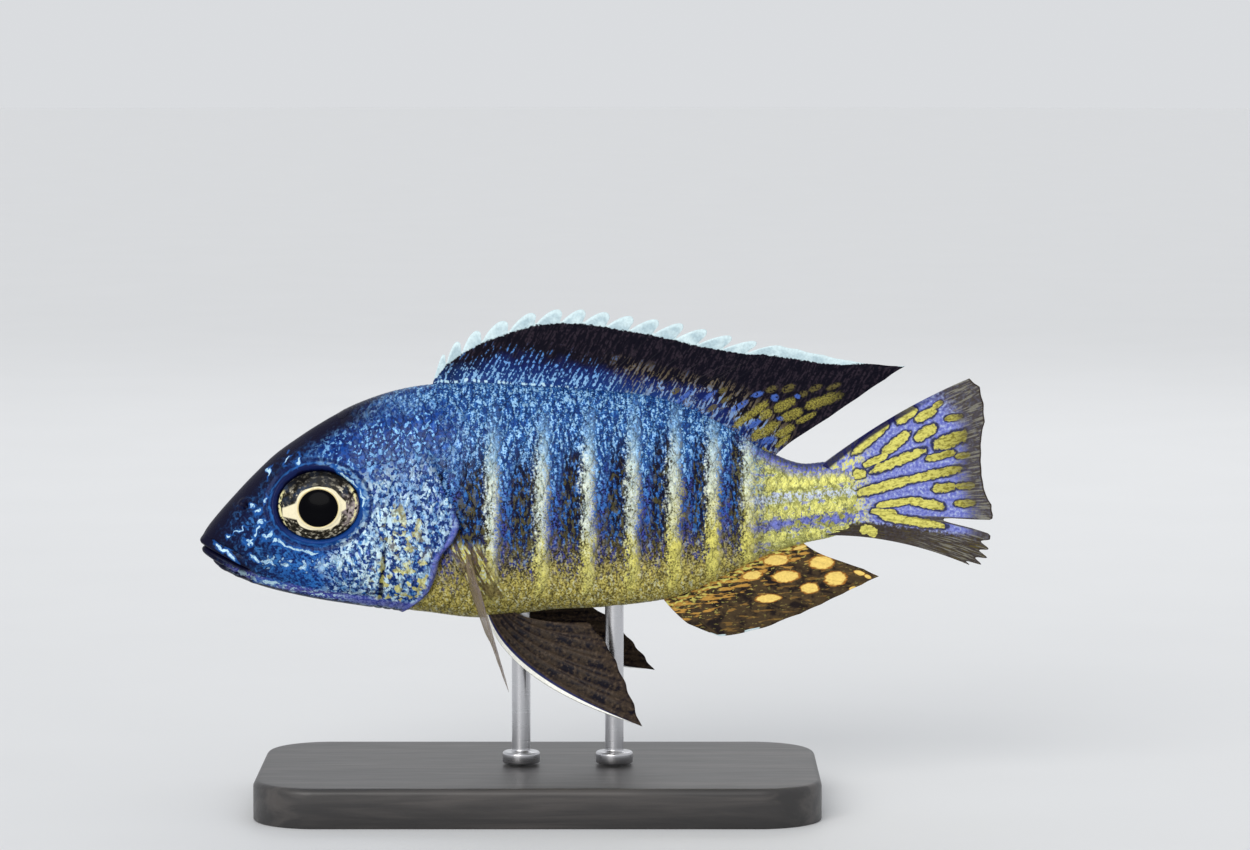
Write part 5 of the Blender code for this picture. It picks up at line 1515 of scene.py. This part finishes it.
def caudal_finish():
    f = Finish("tail fin skin")
    spot = f.attribute("fish")
    along, _, up = spot.parts()
    number, from_root, to_edge = f.attribute("fin").parts()
    ray, part, soft = f.attribute("ray").parts()
    slow = f.noise(spot, 0.5, 2)
    fine = f.noise(spot, 2.4, 3)
    colour = f.paint(FIN_LAVENDER, TAIL_VIOLET, fine.above(0.5, 0.6) * 0.8)
    colour = f.paint(colour, TAIL_MIST, fine.below(0.38, 0.44) * 0.85)
    stray = f.noise(spot, 1.0, 2).stray(0.9) + fine.stray(0.5)
    root = (along + fine.stray(6) + stray * 1.5).below(91.5, 94.5) * up.above(-5.5, -4.5)
    patch = f.noise(spot, 0.9, 2)
    colour = f.paint(colour, TAIL_LEMON, root * patch.above(0.44, 0.5) * fine.above(0.38, 0.48))
    colour = f.paint(colour, LAVENDER, fine.above(0.52, 0.62) * 0.5)
    nearest = nearest_mark(f, spot, TAIL_STREAKS, 2) + stray
    colour = f.paint(colour, STREAK_EDGE, nearest.below(1.08, 1.4) * 0.9)
    streak = nearest.below(0.78, 0.98)
    grain = f.noise(f.stretched(spot, (0.6, 1.0, 1.0)), 2.6, 2)
    rayed = f.noise(f.node("CombineXYZ", {}, {"X": number * 6.0, "Y": from_root * 0.8}), 1.0, 2)
    shade = to_edge.below(1.0, 10.0) * 0.8 + grain.above(0.5, 0.6) * 0.5 + rayed.above(0.52, 0.6) * 0.35
    colour = f.paint(colour, f.paint(STREAK_YELLOW, STREAK_OLIVE, shade), streak)
    border = (to_edge + slow.stray(2) + fine.stray(3)).below(1.4, 4.6) * (1 - streak * 0.45)
    low = (number + part * 1.3 + fine.stray(2)).above(12.0, 13.0) * (1 - streak)
    high = (along + up * 0.9 + fine.stray(4)).above(113.0, 117.5)
    dark = 1 - (1 - border) * (1 - low) * (1 - high)
    colour = f.paint(colour, SMOKE, dark * (0.75 + fine * 0.4))
    margin = (number * (0.5 + part)).below(0.32, 0.55) * part.below(0.5, 0.95)
    colour = f.paint(colour, MARGIN_NAVY, margin * 0.95)
    colour = f.paint(colour, FIN_BROWN, low * 0.6)
    threads = f.noise(f.node("CombineXYZ", {}, {"X": number * 5.0, "Y": from_root * 0.25}), 1.4, 3)
    smoky = threads.above(0.5, 0.6) * dark * part.above(0.35, 0.8)
    colour = f.paint(colour, SMOKE_PALE, smoky * 0.55)
    colour = f.paint(colour, OLIVE, threads.below(0.36, 0.44) * low * 0.7)
    colour = f.paint(colour, FIN_BROWN, to_edge.below(0.15, 0.3) * part.above(0.9, 1.0) * 0.8)
    return fin_surface(f, colour, ray, from_root, soft)


def all_soft(number):
    return np.ones(len(number))


drawn = fin_grid(caudal_rays(), lambda k: SOFT_COLUMNS, caudal_reach, 84)
caudal = fin_mesh("fin_caudal", drawn, all_soft, caudal_finish(), film=0.12, root_half=0.95, ray_half=0.08)
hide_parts("caudal_fin")
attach(caudal, "root")

# The pelvic fins: a pair below the chest, each a dark fan drawn out to a point, with a white front
# edge. The right one swings further out than the left.
PELVIC_ROOT = (38.7, 41.6)
PELVIC_ROOT_HEIGHT = -13.2
PELVIC_ROOT_APART = 2.3
# How far behind and below the root each ray's tip is, and the knees of the first and last ray.
PELVIC_TIPS = ((20.3, 17.0), (20.8, 17.3), (19.9, 14.0), (18.9, 10.8), (17.8, 7.6), (16.4, 4.6))
PELVIC_TIPS += ((14.4, 1.8),)
PELVIC_KNEES = ((1.6, 9.4), (3.0, 1.6))
PELVIC_RAY = paint_tin(84, 70, 58)
EDGE_WHITE = paint_tin(252, 252, 244)


def pelvic_rays(side, splay_deg, fold_deg):
    splay, fold = math.radians(splay_deg), math.radians(fold_deg)

    def swung(back, down, start):
        back, down = (
            back * math.cos(fold) + down * math.sin(fold),
            down * math.cos(fold) - back * math.sin(fold),
        )
        out = PELVIC_ROOT_APART + down * math.sin(splay)
        return start + back, side * out, PELVIC_ROOT_HEIGHT - down * math.cos(splay)

    rays = []
    last = len(PELVIC_TIPS) - 1
    for k, tip in enumerate(PELVIC_TIPS):
        start = PELVIC_ROOT[0] + (PELVIC_ROOT[1] - PELVIC_ROOT[0]) * k / last
        knee = [a + (b - a) * (k / last) ** 0.8 for a, b in zip(*PELVIC_KNEES)]
        rays.append((swung(0.0, -FIN_SINK, start), swung(*knee, start), swung(*tip, PELVIC_ROOT[0])))
    return rays


def pelvic_finish():
    f = Finish("pelvic fin skin")
    spot = f.attribute("fish")
    number, from_root, _ = f.attribute("fin").parts()
    ray, _, soft = f.attribute("ray").parts()
    slow = f.noise(spot, 0.5, 3)
    speck = f.noise(spot, 2.2, 3)
    colour = f.paint(FIN_BLACK, FIN_BROWN, (slow * 0.5 + speck * 0.5).above(0.4, 0.56))
    colour = f.paint(colour, PELVIC_RAY, ray * 0.35 + speck.above(0.58, 0.66) * 0.5)
    colour = f.paint(colour, FIN_BLUE, number.below(0.72, 0.9) * 0.8)
    colour = f.paint(colour, EDGE_WHITE, number.below(0.45, 0.56))
    return fin_surface(f, colour, ray, from_root, soft)


def pelvic_reach(number, share):
    return 1 - 0.008 * np.sin(math.pi * share) ** 2


def pelvic_soft(number):
    return (number > 0) * 1.0


pelvic_material = pelvic_finish()
for side, label, splay, fold in ((-1, "left", 24.0, 0.0), (1, "right", 40.0, 8.0)):
    drawn = fin_grid(pelvic_rays(side, splay, fold), lambda k: SOFT_COLUMNS, pelvic_reach, 64)
    name = f"fin_pelvic_{label}"
    piece = fin_mesh(name, drawn, pelvic_soft, pelvic_material, film=0.12, root_half=0.55, ray_half=0.12)
    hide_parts(f"pelvic_fin_{label}")
    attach(piece, "root")

# The pectoral fins: clear fans of twelve fine rays from an upright root close behind each gill
# cover. The left one is held down and out, so that it shows almost edge on from the side.
PECTORAL_TOP = (36.9, -2.4)
PECTORAL_FOOT = (36.6, -6.6)
PECTORAL_RAYS = 12
PECTORAL_FAN = 52.0
PECTORAL_LENGTH = 22.5
FAN_COLUMNS = np.arange(10) / 10
FILM_GREY = paint_tin(170, 152, 144)
RAY_OLIVE = paint_tin(122, 108, 76)


def pectoral_rays(side, aim, spread_way):
    aim, spread_way = (np.array(v) / np.linalg.norm(v) for v in (aim, spread_way))
    mirror = np.array([1.0, side, 1.0])
    rays = []
    for k in range(PECTORAL_RAYS):
        part = k / (PECTORAL_RAYS - 1)
        station = PECTORAL_TOP[0] + part * (PECTORAL_FOOT[0] - PECTORAL_TOP[0])
        height = PECTORAL_TOP[1] + part * (PECTORAL_FOOT[1] - PECTORAL_TOP[1])
        root = np.array([station, float(flank(station, height)) - FIN_SINK, height])
        turn = math.radians(PECTORAL_FAN * (0.48 - part))
        heading = aim * math.cos(turn) + spread_way * math.sin(turn)
        share = 0.62 + 0.38 * math.sin(math.pi * min(part * 1.35, 1.0)) - 0.22 * part**2
        length = PECTORAL_LENGTH * share
        knee = root + (aim + heading) * length * 0.25
        rays.append([root * mirror, knee * mirror, (root + heading * length) * mirror])
    return rays


def pectoral_finish():
    f = Finish("clear fin film")
    spot = f.attribute("fish")
    from_root = f.attribute("fin").parts()[1]
    ray, part, soft = f.attribute("ray").parts()
    slow = f.noise(spot, 0.6, 2)
    colour = f.paint(FILM_GREY, LAVENDER, slow.above(0.5, 0.7) * 0.4)
    colour = f.paint(colour, RAY_OLIVE, ray.above(0.3, 0.8))
    root = part.below(0.06, 0.2)
    opacity = 0.18 + ray * 0.6 + root * 0.3
    return fin_surface(f, colour, ray, from_root, soft, opacity=opacity)


def pectoral_reach(number, share):
    return 1 - 0.03 * np.sin(math.pi * share) ** 2


pectoral_material = pectoral_finish()
for side, label, aim, spread_way in (
    (-1, "left", (0.24, 0.45, -0.86), (-0.1, 0.86, 0.5)),
    (1, "right", (0.5, 0.5, -0.7), (-0.15, 0.8, 0.58)),
):
    drawn = fin_grid(pectoral_rays(side, aim, spread_way), lambda k: FAN_COLUMNS, pectoral_reach, 56)
    name = f"fin_pectoral_{label}"
    piece = fin_mesh(name, drawn, all_soft, pectoral_material, film=0.05, root_half=0.5, ray_half=0.11)
    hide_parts(f"pectoral_fin_{label}")
    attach(piece, "root")

# The stand: a round-cornered base of stained, waxed hardwood, under two turned steel rods with
# collars, which end in the fish's belly.
STAIN = paint_tin(38, 36, 36)
STAIN_LIGHT = paint_tin(66, 62, 60)


def base_finish():
    f = Finish("stained hardwood")
    place = f.node("TexCoord", {}, {}, 3)
    grain = f.noise(f.stretched(place, (30.0, 420.0, 420.0)), 1.0, 5, 0.6)
    pores = f.noise(f.stretched(place, (160.0, 2600.0, 2600.0)), 1.0, 2)
    colour = f.paint(STAIN, STAIN_LIGHT, grain.above(0.4, 0.7))
    return f.surface(
        {"Coat Weight": 0.25, "Coat Roughness": 0.3},
        Base_Color=colour,
        Roughness=0.42 + pores * 0.2,
        Normal=f.bump(grain * 0.4 + pores, 0.25, 0.1),
    )


def steel_finish():
    f = Finish("turned steel")
    place = f.node("TexCoord", {}, {}, 3)
    turned = f.noise(f.stretched(place, (120.0, 120.0, 5200.0)), 1.0, 3)
    return f.surface(
        {"Base Color": (0.6, 0.6, 0.62, 1.0), "Metallic": 1.0},
        Roughness=0.2 + turned * 0.2,
        Normal=f.bump(turned, 0.2, 0.03),
    )


BASE_LENGTH = 78.0
BASE_WIDTH = 44.0
BASE_THICKNESS = 5.5
BASE_CORNER = 9.0
BASE_EASE = 0.9
BASE_TURNS = 96


def base_mesh(material):
    """A plate with round corners, its top edge eased in a quarter turn and its foot a little."""
    turn = 2 * math.pi * (np.arange(BASE_TURNS) + 0.5) / BASE_TURNS
    cornered = np.stack([np.cos(turn), np.sin(turn)], -1)
    core = np.array([BASE_LENGTH / 2 - BASE_CORNER, BASE_WIDTH / 2 - BASE_CORNER]) * np.sign(cornered)
    profile = [(BASE_CORNER - 0.2, 0.0), (BASE_CORNER, 0.2)]
    for bend in np.linspace(0.0, math.pi / 2, 8):
        out = BASE_CORNER - BASE_EASE * (1 - math.cos(bend))
        profile.append((out, BASE_THICKNESS - BASE_EASE + BASE_EASE * math.sin(bend)))
    profile.append((BASE_CORNER - BASE_EASE - 1.5, BASE_THICKNESS))
    rings = []
    for radius, height in profile:
        rings.append(np.column_stack([core + cornered * radius, np.full(BASE_TURNS, height)]))
    points = np.concatenate(rings + [[[0.0, 0.0, 0.0], [0.0, 0.0, BASE_THICKNESS]]])
    return make_mesh("base", points * MM, closed_rings(len(rings), BASE_TURNS), material, {})


base = base_mesh(base_finish())
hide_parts("stand_base")
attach(base, "root")

ROD_RADIUS = 1.3
ROD_PLACES = ((-2.5, "front"), (10.5, "rear"))
ROD_FOOT = 5.8
ROD_TOP = 30.2
ROD_TURNS = 64
COLLAR_RADIUS = 2.6
COLLAR_HEIGHT = 1.6
COLLAR_EASE = 0.35
COLLAR_FILLET = 0.3


def rod_mesh(name, at, material):
    """A rod turned with its collar in one piece, with eased edges."""
    top = ROD_FOOT + COLLAR_HEIGHT
    bends = np.linspace(0.0, math.pi / 2, 7)
    profile = [(COLLAR_RADIUS - 0.12, ROD_FOOT), (COLLAR_RADIUS, ROD_FOOT + 0.12)]
    for bend in bends:
        out = COLLAR_RADIUS - COLLAR_EASE * (1 - math.cos(bend))
        profile.append((out, top - COLLAR_EASE * (1 - math.sin(bend))))
    for bend in bends:
        out = ROD_RADIUS + COLLAR_FILLET * (1 - math.sin(bend))
        profile.append((out, top + COLLAR_FILLET * (1 - math.cos(bend))))
    profile += [(ROD_RADIUS, height) for height in np.linspace(top + 0.6, ROD_TOP, 12)]
    profile = np.array(profile)
    turn = 2 * math.pi * np.arange(ROD_TURNS) / ROD_TURNS
    radius, height = profile[:, :1], np.broadcast_to(profile[:, 1:], (len(profile), ROD_TURNS))
    rings = np.stack([at + radius * np.cos(turn), radius * np.sin(turn), height], -1)
    points = np.concatenate([rings.reshape(-1, 3), [[at, 0, ROD_FOOT], [at, 0, ROD_TOP]]])
    return make_mesh(name, points * MM, closed_rings(*rings.shape[:2]), material, {})


steel = steel_finish()
for at, label in ROD_PLACES:
    piece = rod_mesh(f"rod_{label}", at, steel)
    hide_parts(f"stand_rod_{label}")
    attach(piece, "root")

# The floor, lights and camera: a wide pale sheet, soft lamps, and the photograph's side view from
# a little above.
FLOOR_RADIUS = 4.0
FLOOR_TURNS = 96
FLOOR_PALE = paint_tin(219, 220, 221)
FLOOR_PALER = paint_tin(223, 224, 225)
CAMERA_TARGET = np.array([12.0, 0.0, 53.1]) * MM
CAMERA_DISTANCE = 0.7
CAMERA_RISE = math.radians(5.0)
CAMERA_LENS = 145.1


def floor_mesh():
    f = Finish("pale floor")
    place = f.node("TexCoord", {}, {}, 3)
    mottle = f.noise(place, 30.0, 3)
    colour = f.paint(FLOOR_PALE, FLOOR_PALER, mottle)
    material = f.surface({}, Base_Color=colour, Roughness=0.6 + mottle * 0.1)
    edge = np.arange(FLOOR_TURNS)
    turn = 2 * math.pi * edge / FLOOR_TURNS
    rim = np.stack([np.cos(turn), np.sin(turn), np.zeros(FLOOR_TURNS)], -1) * FLOOR_RADIUS
    points = np.concatenate([rim, [[0.0, 0.0, 0.0]]])
    faces = np.stack([edge, (edge + 1) % FLOOR_TURNS, np.full(FLOOR_TURNS, FLOOR_TURNS)], -1)
    return make_mesh("floor", points, (faces,), material, {})


floor_mesh()


def aim_at(obj, place, target):
    """Puts a lamp or the camera at a place, looking at a target, upright."""
    back = (place - target) / np.linalg.norm(place - target)
    side = np.cross([0.0, 0.0, 1.0], back)
    side /= np.linalg.norm(side)
    axes = np.column_stack([side, np.cross(back, side), back])
    matrix = np.eye(4)
    matrix[:3, :3], matrix[:3, 3] = axes, place
    obj.matrix_world = matrix.T.tolist()


def lamp(name, kind, place, size, power, colour):
    """A soft lamp that faces the fish: a distant one by its angle, or a near square one by its side."""
    data = bpy.data.lights.new(name, kind)
    data.energy, data.color = power, colour
    if kind == "SUN":
        data.angle = size
    else:
        data.shape, data.size = "SQUARE", size
    obj = bpy.data.objects.new(name, data)
    bpy.context.scene.collection.objects.link(obj)
    aim_at(obj, np.array(place), CAMERA_TARGET)


lamp("key", "SUN", (-0.35, -0.85, 0.55), math.radians(35.0), 1.6, (1.0, 0.98, 0.95))
lamp("rim", "AREA", (0.1, 0.6, 0.5), 0.4, 0.6, (1.0, 1.0, 1.0))

world = bpy.data.worlds.new("studio")
world.use_nodes = True
world.node_tree.nodes["Background"].inputs["Color"].default_value = (0.95, 0.97, 1.0, 1.0)
world.node_tree.nodes["Background"].inputs["Strength"].default_value = 0.74
bpy.context.scene.world = world
bpy.context.scene.view_settings.view_transform = "Standard"

lens = bpy.data.cameras.new("camera")
lens.lens, lens.sensor_width = CAMERA_LENS, 36.0
lens.clip_start, lens.clip_end = 0.01, 20.0
camera = bpy.data.objects.new("camera", lens)
bpy.context.scene.collection.objects.link(camera)
away = np.array([0.0, -math.cos(CAMERA_RISE), math.sin(CAMERA_RISE)])
aim_at(camera, CAMERA_TARGET + away * CAMERA_DISTANCE, CAMERA_TARGET)
bpy.context.scene.camera = camera

bpy.context.view_layer.update()
